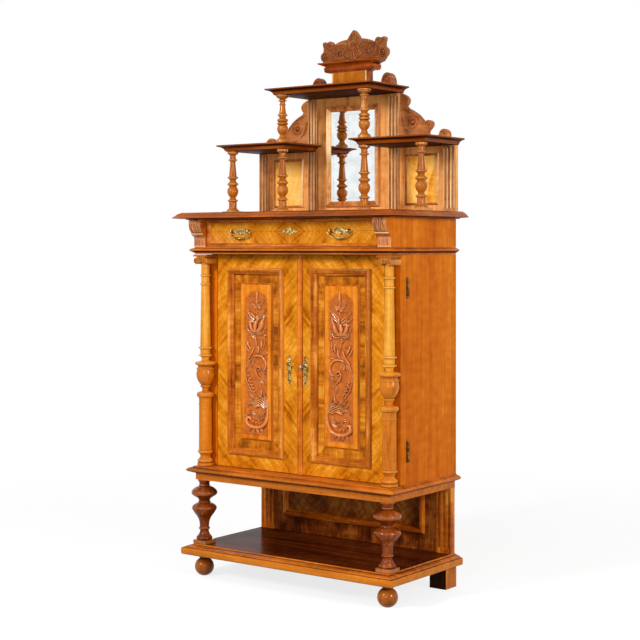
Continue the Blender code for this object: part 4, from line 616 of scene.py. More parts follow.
def add_frame(bm, x_range, z_range, plane, section, stile=0, rail=0):
    """A mitred frame on an upright plane, from insets and rises of its section."""
    rings = [upright_ring(x_range, z_range, inset, plane - rise) for inset, rise in section]
    made = add_loft(bm, rings, closed=True)
    for face in made:
        aside, above = insets(face, x_range, z_range)
        face.material_index = stile if aside < above else rail
    return made


def add_plate(bm, points, near, far, rim=0.0012, index=0):
    """A flat upright piece sawn to an outline of points across and up, its front edge eased."""
    count = len(points)
    turn = 1 if counter_clockwise(points) else -1
    rings = [[(x, far, z) for x, z in points], [(x, near + rim, z) for x, z in points]]
    eased = []
    for i, point in enumerate(points):
        along = Vector(points[(i + 1) % count]) - Vector(points[i - 1])
        inward = Vector((-along.y, along.x)).normalized() * turn
        eased.append(Vector(point) + inward * rim)
    rings.append([(p.x, near, p.y) for p in eased])
    return add_loft(bm, rings, index=index)


def counter_clockwise(points):
    following = list(points[1:]) + [points[0]]
    return sum(a[0] * b[1] - b[0] * a[1] for a, b in zip(points, following)) > 0


def mirrored(points):
    return [(-x, z) for x, z in reversed(points)]


def dress(name, bm, looks, nodes=(), body=None, sharp=38.0, bevel=0.0):
    """Makes a piece of a mesh: its shading, materials, body and the nodes it stands for."""
    bmesh.ops.recalc_face_normals(bm, faces=bm.faces[:])
    limit = math.radians(sharp)
    for face in bm.faces:
        face.smooth = True
    for edge in bm.edges:
        if len(edge.link_faces) == 2 and edge.calc_face_angle(0.0) > limit:
            edge.smooth = False
    mesh = bpy.data.meshes.new(name)
    bm.to_mesh(mesh)
    bm.free()
    for look in looks:
        mesh.materials.append(LOOKS[look])
    piece = bpy.data.objects.new(name, mesh)
    bpy.context.scene.collection.objects.link(piece)
    if bevel:
        ease = piece.modifiers.new("eased_edges", "BEVEL")
        ease.width = bevel
        ease.segments = 2
        ease.limit_method = "ANGLE"
        ease.angle_limit = limit
        ease.harden_normals = True
    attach(piece, body or BODY_OF[nodes[0]])
    if nodes:
        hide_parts(*nodes)
    return piece


def refined(node, look, bevel=0.0009):
    """A copy of a node's mesh with eased edges and one look."""
    bm = bmesh.new()
    bm.from_mesh(frame["nodes"][node].data)
    bmesh.ops.remove_doubles(bm, verts=bm.verts[:], dist=0.00001)
    bmesh.ops.dissolve_limit(bm, angle_limit=math.radians(1), verts=bm.verts[:], edges=bm.edges[:])
    for face in bm.faces:
        face.material_index = 0
    return dress(f"{node}_wood", bm, (look,), (node,), bevel=bevel)


# Moulded boards: how far a face looks up where it counts as top, slope or underside. Undersides take a dark
# look that paints the shade under the boards.
TOP_FACING = 0.98
SLOPE_FACING = 0.3
UNDER_FACING = -0.8


def facing(up):
    """Which of a board's looks a face takes, by how far it faces up: nose, top, slope, and underside with
    painted shade.
    """
    if up > TOP_FACING:
        return 1
    if up > SLOPE_FACING:
        return 2
    return 3 if up < UNDER_FACING else 0


def moulded_board(node, edge, looks, notches=(), corner=None):
    """A board with one moulded edge round its front and ends. Its back has notches or lacks a corner."""
    low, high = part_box(node)
    bm = bmesh.new()
    rings = []
    for setback, share in smooth(edge, 4):
        z = low.z + share * (high.z - low.z)
        near = low.y + setback
        left, right = low.x + setback, high.x - setback
        right_back = corner[1] if corner and corner[0] < 0 else high.y
        left_back = corner[1] if corner and corner[0] > 0 else high.y
        ring = [(left, near, z), (right, near, z), (right, right_back, z)]
        for start, end, depth in notches:
            ring += [(end, high.y, z), (end, depth, z), (start, depth, z), (start, high.y, z)]
        if corner:
            ring += [(corner[0], right_back, z), (corner[0], left_back, z)]
        ring.append((left, left_back, z))
        rings.append(ring)
    for face in add_loft(bm, rings):
        face.normal_update()
    bmesh.ops.recalc_face_normals(bm, faces=bm.faces[:])
    for face in bm.faces:
        face.material_index = facing(face.normal.z)
    return dress(f"{node}_wood", bm, looks, (node,))


POST_FRONT = 0.2235
POST_SPAN = (0.3904, 0.4544)
SHELF_CORNER = (0.2183, 0.2272)
BASE_LOOKS = ("gold_moulding", "board_top", "moulding", "under")
CASE_LOOKS = ("moulding", "moulding", "moulding", "under")
TOP_LOOKS = ("top_nose", "top_nose", "top_nose", "under")
SHELF_LOOKS = ("shelf_nose", "shelf_nose", "shelf_nose", "under")
post_notches = [(POST_SPAN[0], POST_SPAN[1], POST_FRONT), (-POST_SPAN[1], -POST_SPAN[0], POST_FRONT)]
moulded_board("base_shelf", BASE_SHELF_EDGE, BASE_LOOKS, post_notches)
moulded_board("carcase_bottom", BOTTOM_EDGE, CASE_LOOKS)
back_low, back_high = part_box("carcase_back")
back_rebate = [(back_low.x - SEAT_GAP, back_high.x + SEAT_GAP, back_low.y - SEAT_GAP)]
moulded_board("drawer_board", DRAWER_BOARD_EDGE, CASE_LOOKS, back_rebate)
moulded_board("top_board", TOP_EDGE, TOP_LOOKS)
for side, sign in SIDES.items():
    corner = (sign * SHELF_CORNER[0], SHELF_CORNER[1])
    moulded_board(f"side_shelf_{side}", GALLERY_SHELF_EDGE, SHELF_LOOKS, corner=corner)
moulded_board("top_shelf", GALLERY_SHELF_EDGE, SHELF_LOOKS)


# Turned pieces
def node_axis(node):
    low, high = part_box(node)
    return ((low.x + high.x) / 2, (low.y + high.y) / 2, low.z)


def turned_piece(node, profile, look, plinth=0.0, base=0.0):
    """A turned piece, on a square plinth where it has one."""
    low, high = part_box(node)
    centre = node_axis(node)
    bm = bmesh.new()
    add_lathe(bm, turned_line(profile, high.z - low.z, base), centre)
    if plinth:
        x_range, y_range = [(middle - plinth / 2, middle + plinth / 2) for middle in centre[:2]]
        add_box(bm, x_range, y_range, (low.z, low.z + base))
    return dress(f"{node}_turning", bm, (look,), (node,), bevel=0.0006)


# Ball feet: angles that the ball spans, and its neck as radius and share of the neck's height
BALL_ARC = (62, -70)
BALL_NECK = 0.011
BALL_COLLAR = ((0.018, 0.0), (0.018, 0.6), (0.0225, 0.5), (0.0225, 1.0))

# Square plinths: width and height
LEG_PLINTH = (0.062, 0.013)
BALUSTER_PLINTH = (0.060, 0.010)
for side, sign in SIDES.items():
    low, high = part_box(f"ball_foot_{side}")
    radius = (high.x - low.x) / 2
    tall = (high.z - low.z - BALL_NECK) / 2
    angles = [math.radians(BALL_ARC[0] + (BALL_ARC[1] - BALL_ARC[0]) * i / 24) for i in range(25)]
    floor_share = math.sin(angles[-1])
    ball = [(reach, high.z - BALL_NECK * share) for reach, share in BALL_COLLAR]
    ball += [(radius * math.cos(a), tall * (math.sin(a) - floor_share)) for a in angles]
    bm = bmesh.new()
    centre = node_axis(f"ball_foot_{side}")
    add_lathe(bm, ball, (centre[0], centre[1], 0.0))
    dress(f"ball_foot_{side}_turning", bm, ("foot",), (f"ball_foot_{side}",))
    turned_piece(f"front_leg_{side}", LEG_PROFILE, "turned_dark", *LEG_PLINTH)
    for row in ("inner", "outer"):
        turned_piece(f"{row}_baluster_{side}", LOWER_BALUSTER_PROFILE, "turned", *BALUSTER_PLINTH)
    turned_piece(f"upper_baluster_{side}", UPPER_BALUSTER_PROFILE, "turned")


# Relief carving: ridges and domes drawn across and up on a surface, and set out from it
ROUND = [(math.cos(math.pi * (1 - i / 8)), math.sin(math.pi * i / 8)) for i in range(9)]
VEINED = [
    (-1.0, 0.0), (-0.86, 0.5), (-0.55, 0.92), (-0.2, 0.78), (0.0, 0.42), (0.2, 0.78), (0.55, 0.92),
    (0.86, 0.5), (1.0, 0.0),
]
SUNK = -0.18
LEAF_TIP = 0.78


def leaf_shape(t):
    if t < LEAF_TIP:
        swell = math.sin(math.pi * min(1.0, t * 1.12 + 0.12) ** 0.85)
        return 0.22 + 0.78 * swell ** 0.8
    return max(0.06, (1 - t) / (1 - LEAF_TIP) * 0.72)


def stem_shape(t):
    return min(1.0, 0.35 + 3.0 * t, 0.35 + 3.0 * (1 - t))


def bud_shape(t):
    return max(0.12, math.sin(math.pi * (0.08 + 0.84 * t)) ** 0.7)


STROKES = {"leaf": (leaf_shape, VEINED), "stem": (stem_shape, ROUND), "petal": (bud_shape, ROUND)}


def on_plane(x, y, z, turn=1):
    """What places relief drawn across and up on an upright plane, mirrored where the turn is -1."""

    def place(across, up, out, plane=y):
        return (x + turn * across, plane - out, z + up)

    return place


def add_stroke(bm, kind, width, height, path, place, index=0, steps=4):
    """A carved ridge along a path, tapered by its kind."""
    shape, section = STROKES[kind]
    line = curve(path, steps)
    rings = []
    for i, point in enumerate(line):
        t = i / (len(line) - 1)
        along = (line[min(i + 1, len(line) - 1)] - line[max(i - 1, 0)]).normalized()
        normal = Vector((-along.y, along.x))
        share = shape(t)
        rise = height * (0.35 + 0.65 * share)
        ring = [(*(point + normal * a * width * share), b * rise) for a, b in section]
        edge = normal * width * share
        ring += [(*(point + edge), SUNK * height), (*(point - edge), SUNK * height)]
        rings.append([place(*p) for p in ring])
    add_loft(bm, rings, index=index)


def add_dome(bm, centre, radius, height, place, index=0, around=16, levels=6):
    """A round boss or berry."""
    quarter = [math.pi / 2 * i / levels for i in range(levels)]
    profile = [(1.0, SUNK)] + [(math.cos(q), math.sin(q)) for q in quarter] + [(0.08, 1.0)]
    rings = []
    for out, up in profile:
        ring = circle(centre, radius * out, around)
        rings.append([place(*point, height * up) for point in ring])
    add_loft(bm, rings, index=index)


def spiral(centre, start_radius, end_radius, start_angle, turns, count=10):
    """Points of a path that winds in to a centre."""
    path = []
    for i in range(count + 1):
        t = i / count
        radius = start_radius + (end_radius - start_radius) * t
        angle = math.radians(start_angle) + math.tau * turns * t
        path.append((centre[0] + radius * math.cos(angle), centre[1] + radius * math.sin(angle)))
    return path


def carve(bm, strokes, place, index=0, slim=1.0, proud=1.0):
    """Adds strokes given in millimetres, slimmed or raised by shares. A berry has a centre, not a path."""
    for kind, width, height, *path in strokes:
        width, height = width * slim, height * proud
        if kind == "berry":
            add_dome(bm, [v * MM for v in path[0]], width * MM, height * MM, place, index)
        else:
            add_stroke(bm, kind, width * MM, height * MM, [[v * MM for v in p] for p in path], place, index)


# Carving of the right door's panel, across from its middle and up from its lower edge. The left mirrors it.
DOOR_CARVING = (
    ("stem", 2.4, 3.0, (-5, 478), (-5, 505), (-5, 536)),
    ("petal", 5.5, 5.5, (-5, 532), (-5.5, 548), (-5.5, 564)),
    ("leaf", 6, 4.5, (-8, 506), (-20, 513), (-31, 521), (-42, 535)),
    ("leaf", 6, 4.5, (-2, 506), (9, 511), (20, 519), (27, 537)),
    ("berry", 7, 6, (-17, 503)),
    ("berry", 7, 6, (2, 501)),
    ("berry", 5, 5, (-8, 513)),
    ("leaf", 8, 5, (-10, 466), (-24, 478), (-40, 492), (-57, 506)),
    ("leaf", 8, 5, (-12, 460), (-26, 469), (-42, 474), (-54, 468)),
    ("petal", 6, 6, (-29, 446), (-36, 458), (-42, 472)),
    ("leaf", 10, 6, (2, 458), (16, 468), (30, 480), (44, 497)),
    ("leaf", 8, 5, (8, 452), (24, 459), (38, 463), (50, 475)),
    ("petal", 6, 5, (10, 446), (24, 449), (38, 446)),
    ("petal", 6.5, 7, (-8, 446), (-9, 459), (-8, 473)),
    ("petal", 11, 8, (-4, 410), (-18, 421), (-27, 436), (-31, 452)),
    ("petal", 10, 8.5, (1, 408), (2, 424), (1, 438), (-2, 453)),
    ("petal", 9, 7, (6, 410), (18, 420), (25, 434), (28, 451)),
    ("leaf", 8, 5, (-4, 408), (-22, 405), (-39, 415), (-54, 434)),
    ("leaf", 8, 5, (6, 408), (23, 408), (36, 418), (47, 440)),
    ("stem", 3, 3.5, (0, 410), (4, 396), (2, 383), (-4, 361), (-10, 340), (-4, 320)),
    ("leaf", 6, 4.5, (1, 384), (12, 394), (24, 400), (40, 403)),
    ("stem", 2.3, 3, (-12, 330), (-30, 342), (-40, 362), (-45, 388)),
    ("berry", 6, 6, (-45, 397)),
    ("petal", 5, 5, (-25, 346), (-29, 361), (-26, 378)),
    ("petal", 5, 5, (-10, 330), (-14, 344), (-12, 358)),
    ("stem", 4.5, 5, (8, 352), (17, 334), (27, 318), (40, 303)),
    ("petal", 5, 5, (26, 344), (36, 357), (41, 372)),
    ("petal", 4, 4, (36, 334), (45, 348), (51, 362)),
    ("berry", 5.5, 5, (-55, 331)),
    ("stem", 2.5, 3, (-52, 327), (-36, 323), (-14, 318), (10, 315)),
    ("stem", 5, 5.5, (24, 310), (2, 318), (-24, 318), (-43, 306), (-50, 288), (-45, 270), (-30, 261)),
    ("leaf", 5, 4, (-36, 262), (-46, 266), (-60, 278)),
    ("leaf", 5, 4, (-34, 254), (-46, 254), (-61, 260)),
    ("leaf", 5, 4, (-34, 246), (-46, 242), (-59, 240)),
    ("stem", 4, 5, (-24, 230), (-8, 244), (-1, 262), (-9, 277), (-20, 272), (-19, 262)),
    ("berry", 5, 6, (-11, 264)),
    ("leaf", 6, 4.5, (32, 302), (42, 284), (50, 268), (54, 250)),
    ("leaf", 5, 4, (4, 312), (12, 298), (16, 284), (28, 272)),
    ("stem", 3, 3.5, (50, 248), (44, 222), (28, 194), (6, 170)),
    ("berry", 5.5, 5, (38, 240)),
    ("berry", 5.5, 5, (30, 230)),
    ("berry", 5.5, 5.5, (26, 218)),
    ("berry", 5.5, 5, (35, 222)),
    ("berry", 5.5, 5.5, (19, 206)),
    ("berry", 5, 5, (28, 208)),
    ("berry", 5.5, 5.5, (13, 194)),
    ("berry", 5, 5, (21, 196)),
    ("berry", 4.5, 5, (8, 182)),
    ("leaf", 5, 4, (-26, 228), (-36, 218), (-48, 214)),
    ("leaf", 5, 4, (-20, 222), (-20, 206), (-26, 192)),
    ("petal", 4.5, 5, (-24, 162), (-28, 174), (-30, 188)),
    ("leaf", 7, 6, (-58, 134), (-53, 150), (-44, 166), (-36, 184)),
    ("leaf", 9, 7.5, (-60, 128), (-48, 146), (-32, 158), (-10, 172)),
    ("leaf", 9, 7.5, (-58, 126), (-40, 142), (-18, 152), (8, 162)),
    ("leaf", 9, 7, (-50, 126), (-28, 140), (0, 150), (30, 174)),
    ("leaf", 8, 6, (-44, 124), (-16, 136), (10, 144), (36, 154)),
    ("petal", 7, 6, (-24, 130), (-8, 128), (6, 122)),
    ("leaf", 6, 5, (2, 130), (18, 137), (32, 132), (41, 118)),
    (
        "stem", 8, 8.5, (-54, 132), (-60, 112), (-58, 88), (-50, 68), (-36, 54), (-14, 46), (10, 46),
        (30, 52), (43, 64), (41, 79), (30, 81), (25, 72),
    ),
    ("leaf", 6, 5, (-42, 112), (-34, 97), (-20, 90), (-2, 96)),
    ("leaf", 6, 5, (-38, 88), (-24, 78), (-10, 76), (4, 84)),
    ("leaf", 6, 4.5, (2, 92), (14, 101), (27, 98), (40, 92)),
    ("berry", 5, 5, (14, 66)),
    ("berry", 4.5, 5, (-2, 64)),
    ("leaf", 6, 4.5, (-18, 48), (-27, 38), (-34, 25)),
    ("leaf", 6, 4.5, (-4, 44), (-10, 32), (-16, 20)),
    ("leaf", 6, 4.5, (12, 46), (8, 34), (6, 20)),
    ("leaf", 5, 4, (26, 50), (28, 38), (36, 26)),
    ("leaf", 5, 4, (40, 62), (52, 72), (54, 92)),
)
PANEL_HALF = (0.074, 0.295)
ARCH_HALF = 0.058
ARCH_SPRING = 0.520
ARCH_RISE = 0.046
GROUND_LOW = 0.014
GROUND_SINK = 0.003
FIELD_CHAMFER = 0.008
BORDER_SINK = 0.006
FIELD_RAISE = 0.007
ARCH_ANGLES = [math.pi * i / 32 for i in range(33)]


def arch_line(inset):
    """Outline of the sunk ground: straight sides under a low arch, across and up."""
    half = ARCH_HALF - inset
    low = GROUND_LOW + inset
    line = [(half, low)]
    for angle in ARCH_ANGLES:
        line.append((half * math.cos(angle), ARCH_SPRING + (ARCH_RISE - inset) * math.sin(angle)))
    line.append((-half, low))
    return line


def rim_line():
    """Points on the field's edge that answer those of the arch."""
    half, tall = PANEL_HALF[0], PANEL_HALF[1] * 2
    line = [(half, 0.0)]
    for angle in ARCH_ANGLES:
        across, up = math.cos(angle), math.sin(angle)
        reach = min(half / max(abs(across), 1e-6), (tall - ARCH_SPRING) / max(up, 1e-6))
        line.append((across * reach, ARCH_SPRING + up * reach))
    line.append((-half, 0.0))
    return line


def rim_ring(place, out, y):
    """The field's edge, moved out all round and set at a depth."""
    half, tall = PANEL_HALF[0], PANEL_HALF[1] * 2
    wider, taller = 1 + out / half, 1 + 2 * out / tall
    return [place(a * wider, (u - tall / 2) * taller + tall / 2, 0.0, y) for a, u in rim_line()]


BOLECTION_SHAPE = (
    (0.0, 0.35), (0.03, 0.62), (0.15, 0.88), (0.34, 1.0), (0.52, 0.93), (0.64, 0.70), (0.72, 0.50),
    (0.76, 0.50), (0.80, 0.42), (0.90, 0.30), (1.0, 0.0),
)
BOLECTION_SIZE = (0.027, 0.015)
BOLECTION_TONGUE = (0.0165, -0.0057)
BANDING_TONES = ((132, 70, 8), (180, 98, 14), (202, 120, 24), (224, 150, 50))


def bolection_line():
    """The section of a bolection moulding: inset and rise."""
    return [(a * BOLECTION_SIZE[0], b * BOLECTION_SIZE[1]) for a, b in smooth(BOLECTION_SHAPE, 3)]


for side, sign in SIDES.items():
    door = f"{side}_door"
    low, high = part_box(f"{side}_door_panel")
    middle = ((low.x + high.x) / 2, (low.z + high.z) / 2)
    field_low = middle[1] - PANEL_HALF[1]
    border_y = DOOR_FRONT + BORDER_SINK
    raised_y = border_y - FIELD_RAISE
    LOOKS[f"{side}_banding"] = crossbanded(f"{side}_banding", BANDING_TONES, middle, PANEL_HALF)
    on_field = on_plane(middle[0], raised_y + GROUND_SINK, field_low, sign)
    bm = bmesh.new()
    span_x, span_z = (low.x, high.x), (low.z, high.z)
    back = [upright_ring(span_x, span_z, 0.0, high.y), upright_ring(span_x, span_z, 0.0, border_y)]
    add_loft(bm, back)
    field = [
        rim_ring(on_field, FIELD_CHAMFER, border_y + 0.001),
        rim_ring(on_field, 0.0, raised_y + 0.001),
        rim_ring(on_field, -0.001, raised_y),
        [on_field(a, u, 0.0, raised_y) for a, u in arch_line(-0.004)],
        [on_field(a, u, 0.0, raised_y + 0.0008) for a, u in arch_line(0.001)],
        [on_field(a, u, 0.0) for a, u in arch_line(0.007)],
    ]
    made = add_loft(bm, field, index=1)
    around = len(field[0])
    # The chamfer round the raised field takes the red moulding wood, which also paints the shadow line round
    # the field
    for face in made[:around]:
        face.material_index = 4
    for face in made[around * 4:around * 5]:
        face.material_index = 5
    made[-1].material_index = 2
    carve(bm, DOOR_CARVING, on_field, 3, 0.95, 1.35)
    panel_looks = (f"{side}_banding", "carved_margin", "carved_ground", "carved", "moulding_z", "carved_edge")
    dress(f"{door}_panel_carving", bm, panel_looks, (f"{side}_door_panel",))

    low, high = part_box(f"{side}_door_moulding")
    bm = bmesh.new()
    inner, sunk = BOLECTION_TONGUE
    section = [(0.0, SEAT_GAP)] + bolection_line()
    section += [(BOLECTION_SIZE[0], sunk), (inner, sunk), (inner, SEAT_GAP)]
    add_frame(bm, (low.x, high.x), (low.z, high.z), DOOR_FRONT, section, 0, 1)
    moulding_looks = ("door_stile_moulding", "door_rail_moulding")
    dress(f"{door}_moulding_wood", bm, moulding_looks, (f"{side}_door_moulding",))

    refined(f"{side}_door_frame", "door_veneer")
    refined(f"side_panel_{side}", "side_veneer")
    refined(f"drawer_case_{side}", "side_veneer")


# Columns: a shaft on a vase, a round plinth and a scrolled capital
COLUMN_PLINTH = ((0.0310, 0.010), (0.0320, 0.009), (0.0320, 0.001), (0.0312, 0.0))
VASE_TOP = 0.40
COLUMN_HEIGHT = 0.800
COLUMN_AXIS = (0.431, -0.152)
CAPITAL_HALF = 0.0345
CAPITAL_HEIGHT = 0.038
VOLUTE_RADIUS = 0.0135
for side, sign in SIDES.items():
    node = f"{side}_column"
    low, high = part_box(node)
    axis = (sign * COLUMN_AXIS[0], COLUMN_AXIS[1], low.z)
    bm = bmesh.new()
    turning = turned_line(COLUMN_PROFILE, COLUMN_HEIGHT, COLUMN_PLINTH[0][1]) + list(COLUMN_PLINTH)
    for face in add_lathe(bm, turning, axis):
        face.material_index = int(face.calc_center_median().z < low.z + VASE_TOP)
    capital_low = high.z - CAPITAL_HEIGHT
    near = axis[1] - CAPITAL_HALF
    depth_back = DOOR_FRONT - SEAT_GAP
    volute_x = CAPITAL_HALF - VOLUTE_RADIUS
    for reach, setback, top, bottom in ((CAPITAL_HALF, 0.0, 0.0030, 0.0080), (0.0325, 0.002, 0.0, 0.0030)):
        abacus_x = (axis[0] - reach, axis[0] + reach)
        add_box(bm, abacus_x, (near + setback, depth_back), (high.z - bottom, high.z - top), 2)
    echinus_x = (axis[0] - volute_x, axis[0] + volute_x)
    add_box(bm, echinus_x, (near + 0.006, depth_back), (capital_low + VOLUTE_RADIUS, high.z - 0.0079), 1)
    on_capital = on_plane(axis[0], near + 0.004, capital_low)
    for end in (-1, 1):
        eye = (end * volute_x, VOLUTE_RADIUS)
        drum = circle((axis[0] + eye[0], capital_low + eye[1]), VOLUTE_RADIUS - 0.0006, 28)
        add_plate(bm, drum, near + 0.004, depth_back, 0.0008, 1)
        winding = spiral(eye, 0.0115, 0.0026, 90, -end * 1.75, 16)
        add_stroke(bm, "stem", 0.0021, 0.0030, winding, on_capital, 1, 3)
        add_dome(bm, eye, 0.0030, 0.0032, on_capital, 1)
    for k in range(5):
        across = (k - 2) * 0.0064
        add_dome(bm, (across, 0.0240), 0.0030, 0.0034, on_capital, 1, 12, 4)
        petal = [(across, 0.020), (across, 0.014), (across * 0.9, 0.007)]
        add_stroke(bm, "petal", 0.0026, 0.0028, petal, on_capital, 1)
    dress(f"{node}_turning", bm, ("shaft", "vase", "moulding"), (node,), bevel=0.0005)


# Back legs: a square foot and a fluted post in one
def add_fluted(bm, x_range, near, far, z_range, flutes, radius, depth, stops, index, flat_index, steps=10):
    """An upright board with round hollows down its front that run out between two stops."""
    left, right = sorted(x_range)
    pitch = (right - left) / flutes
    reach = math.acos((radius - depth) / radius)

    def section(share, z):
        ring = [(left, far, z), (left, near, z)]
        for i in range(flutes):
            middle = left + (i + 0.5) * pitch
            for k in range(steps + 1):
                angle = reach * (2 * k / steps - 1)
                sunk = radius * math.cos(angle) - (radius - depth)
                ring.append((middle + radius * math.sin(angle), near + sunk * share, z))
        return ring + [(right, near, z), (right, far, z)]

    scoop = [(0.0, 0.0), (0.55, 0.16), (0.85, 0.47), (0.97, 0.76), (1.0, 1.0)]
    low, high = stops
    rings = [section(0.0, z_range[0])]
    rings += [section(share, low + radius * along) for share, along in scoop]
    rings += [section(share, high - radius * along) for share, along in reversed(scoop)]
    rings.append(section(0.0, z_range[1]))
    for face in add_loft(bm, rings, index=index):
        level = all(abs(corner.co.y - near) < 1e-6 for corner in face.verts)
        if level and low < face.calc_center_median().z < high:
            face.material_index = flat_index


STAND_LOW = 0.125
STAND_HIGH = 0.3712
FOOT_SPAN = (0.3898, 0.4614)
FOOT_HEIGHT = 0.0837
POST_FOOT = 0.053
PANEL_STILE = 0.052
PANEL_RAILS = (0.062, 0.0257)

# Flutes: how many, radius and depth on the posts, and how far from the ends they stop
FLUTES = 3
POST_FLUTE = (0.0065, 0.004)
FLUTE_STOP = 0.018
for side, sign in SIDES.items():
    low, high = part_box(f"back_leg_{side}")
    bm = bmesh.new()
    for face in add_box(bm, [sign * edge for edge in FOOT_SPAN], (low.y, BACK), (0.0, FOOT_HEIGHT)):
        # The foot's front face takes a dark look that paints the shade under the base shelf
        face.material_index = int(face.calc_center_median().y < low.y + MM)
    post_x = [sign * edge for edge in POST_SPAN]
    post_z = (POST_FOOT, STAND_HIGH)
    stops = (STAND_LOW + FLUTE_STOP, STAND_HIGH - FLUTE_STOP)
    add_fluted(bm, post_x, POST_FRONT, BACK - 0.001, post_z, FLUTES, *POST_FLUTE, stops, 0, 2)
    on_post = on_plane(0.0, POST_FRONT, 0.0, sign)
    for k in range(FLUTES):
        flute_x = POST_SPAN[0] + (k + 0.5) * (POST_SPAN[1] - POST_SPAN[0]) / FLUTES
        add_dome(bm, (flute_x, stops[0] - 0.006), 0.0042, 0.0030, on_post, around=14)
    leg_looks = ("gold_moulding_z", "foot_painted_shade", "door_stile_moulding")
    dress(f"back_leg_{side}_wood", bm, leg_looks, (f"back_leg_{side}",), bevel=0.0008)

low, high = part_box("lower_back_panel")
panel_y = POST_FRONT + 0.004
bm = bmesh.new()
add_box(bm, (low.x, high.x), (panel_y, high.y), (low.z, high.z))
frame_x = (-POST_SPAN[0] + PANEL_STILE, POST_SPAN[0] - PANEL_STILE)
frame_z = (STAND_LOW + PANEL_RAILS[0], STAND_HIGH - PANEL_RAILS[1])
section = [(0.0, -0.001)] + bolection_line() + [(BOLECTION_SIZE[0], -0.001)]
add_frame(bm, frame_x, frame_z, panel_y, section, 3, 1)
field_edge = ((0.026, -0.001), (0.026, 0.0012), (0.0275, 0.0016))
field_rings = [upright_ring(frame_x, frame_z, inset, panel_y - rise) for inset, rise in field_edge]
add_loft(bm, field_rings, index=2)
panel_looks = ("panel_rail", "gold_moulding", "panel_dark", "gold_moulding_z")
dress("lower_back_panel_wood", bm, panel_looks, ("lower_back_panel",), bevel=0.0006)

# Closing strip where the doors meet: a rounded bead between two fillets
low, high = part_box("closing_strip")
wide, rise = high.x - low.x, high.y - low.y
strip = [(0.0, 0.0), (0.0, 0.46), (0.02, 0.52), (0.12, 0.52), (0.15, 0.60)]
bead_angles = [math.pi * k / 14 for k in range(15)]
strip += [(0.5 - 0.34 * math.cos(a), 0.62 + 0.38 * math.sin(a)) for a in bead_angles]
strip += [(0.85, 0.60), (0.88, 0.52), (0.98, 0.52), (1.0, 0.46), (1.0, 0.0)]
bm = bmesh.new()
add_loft(bm, [[(low.x + a * wide, high.y - b * rise, z) for a, b in strip] for z in (low.z, high.z)])
dress("closing_strip_wood", bm, ("strip",), ("closing_strip",))


def add_tube(bm, path, radii, closed=False, sides=14, index=0):
    """A round wire along a path of points, with a radius for each."""
    points = [Vector(p) for p in path]
    count = len(points)
    rings = []
    for i, point in enumerate(points):
        before = points[i - 1] if closed or i else point
        after = points[(i + 1) % count] if closed or i < count - 1 else point
        along = (after - before).normalized()
        level = Vector((0.0, 1.0, 0.0)) if abs(along.y) < 0.9 else Vector((1.0, 0.0, 0.0))
        aside = along.cross(level).normalized()
        up = aside.cross(along)
        angles = [math.tau * k / sides for k in range(sides)]
        rings.append([point + (aside * math.cos(a) + up * math.sin(a)) * radii[i] for a in angles])
    add_loft(bm, rings, closed, index)


def add_spindle(bm, points, centre, sides=24):
    """A turned stud whose axis runs out along -Y, from points of radius and reach."""
    rings = []
    for radius, reach in points:
        ring = circle((centre[0], centre[2]), radius, sides)
        rings.append([(x, centre[1] - reach, z) for x, z in ring])
    add_loft(bm, rings)


# Brass escutcheons of the doors: height above the middle and half width, in millimetres
DOOR_SCUTCHEON = (
    (56, 0.8), (53, 4.0), (49, 6.8), (45, 4.6), (41, 7.2), (37, 10.6), (33, 8.2), (28, 9.0), (22, 12.2),
    (15, 13.2), (8, 12.2), (1, 9.8), (-6, 8.0), (-12, 10.4), (-18, 12.4), (-24, 9.8), (-30, 6.8), (-36, 9.8),
    (-41, 8.2), (-45, 4.6), (-49, 6.4), (-53, 4.0), (-56, 0.8),
)
# Piercings of the escutcheons: aside, above the middle, and radius, in millimetres
SCUTCHEON_HOLES = (
    (4.0, 36, 1.8), (5.0, 29, 1.9), (8.2, 21, 2.0), (8.6, 13, 2.2), (7.2, 5, 1.9), (4.4, -4, 1.7),
    (7.4, -14, 2.0), (7.0, -21, 2.0), (3.4, -29, 1.7), (6.0, -37, 1.8), (3.0, -48, 1.4), (3.0, 48, 1.5),
)
SCUTCHEON_Z = 0.813
KEY_X = 0.038
KEY_Z = 0.829
KEYHOLE = ((0.0, 4.6), (1.5, 4.0), (2.1, 2.6), (1.5, 1.0), (0.9, 0.0), (1.3, -5.0), (0.0, -5.2))


def keyhole_outline(centre):
    """Outline of a keyhole, from its right half."""
    half = [(x * MM, z * MM) for x, z in KEYHOLE]
    points = half + [(-x, z) for x, z in reversed(half[1:-1])]
    return [(centre[0] + x, centre[1] + z) for x, z in points]


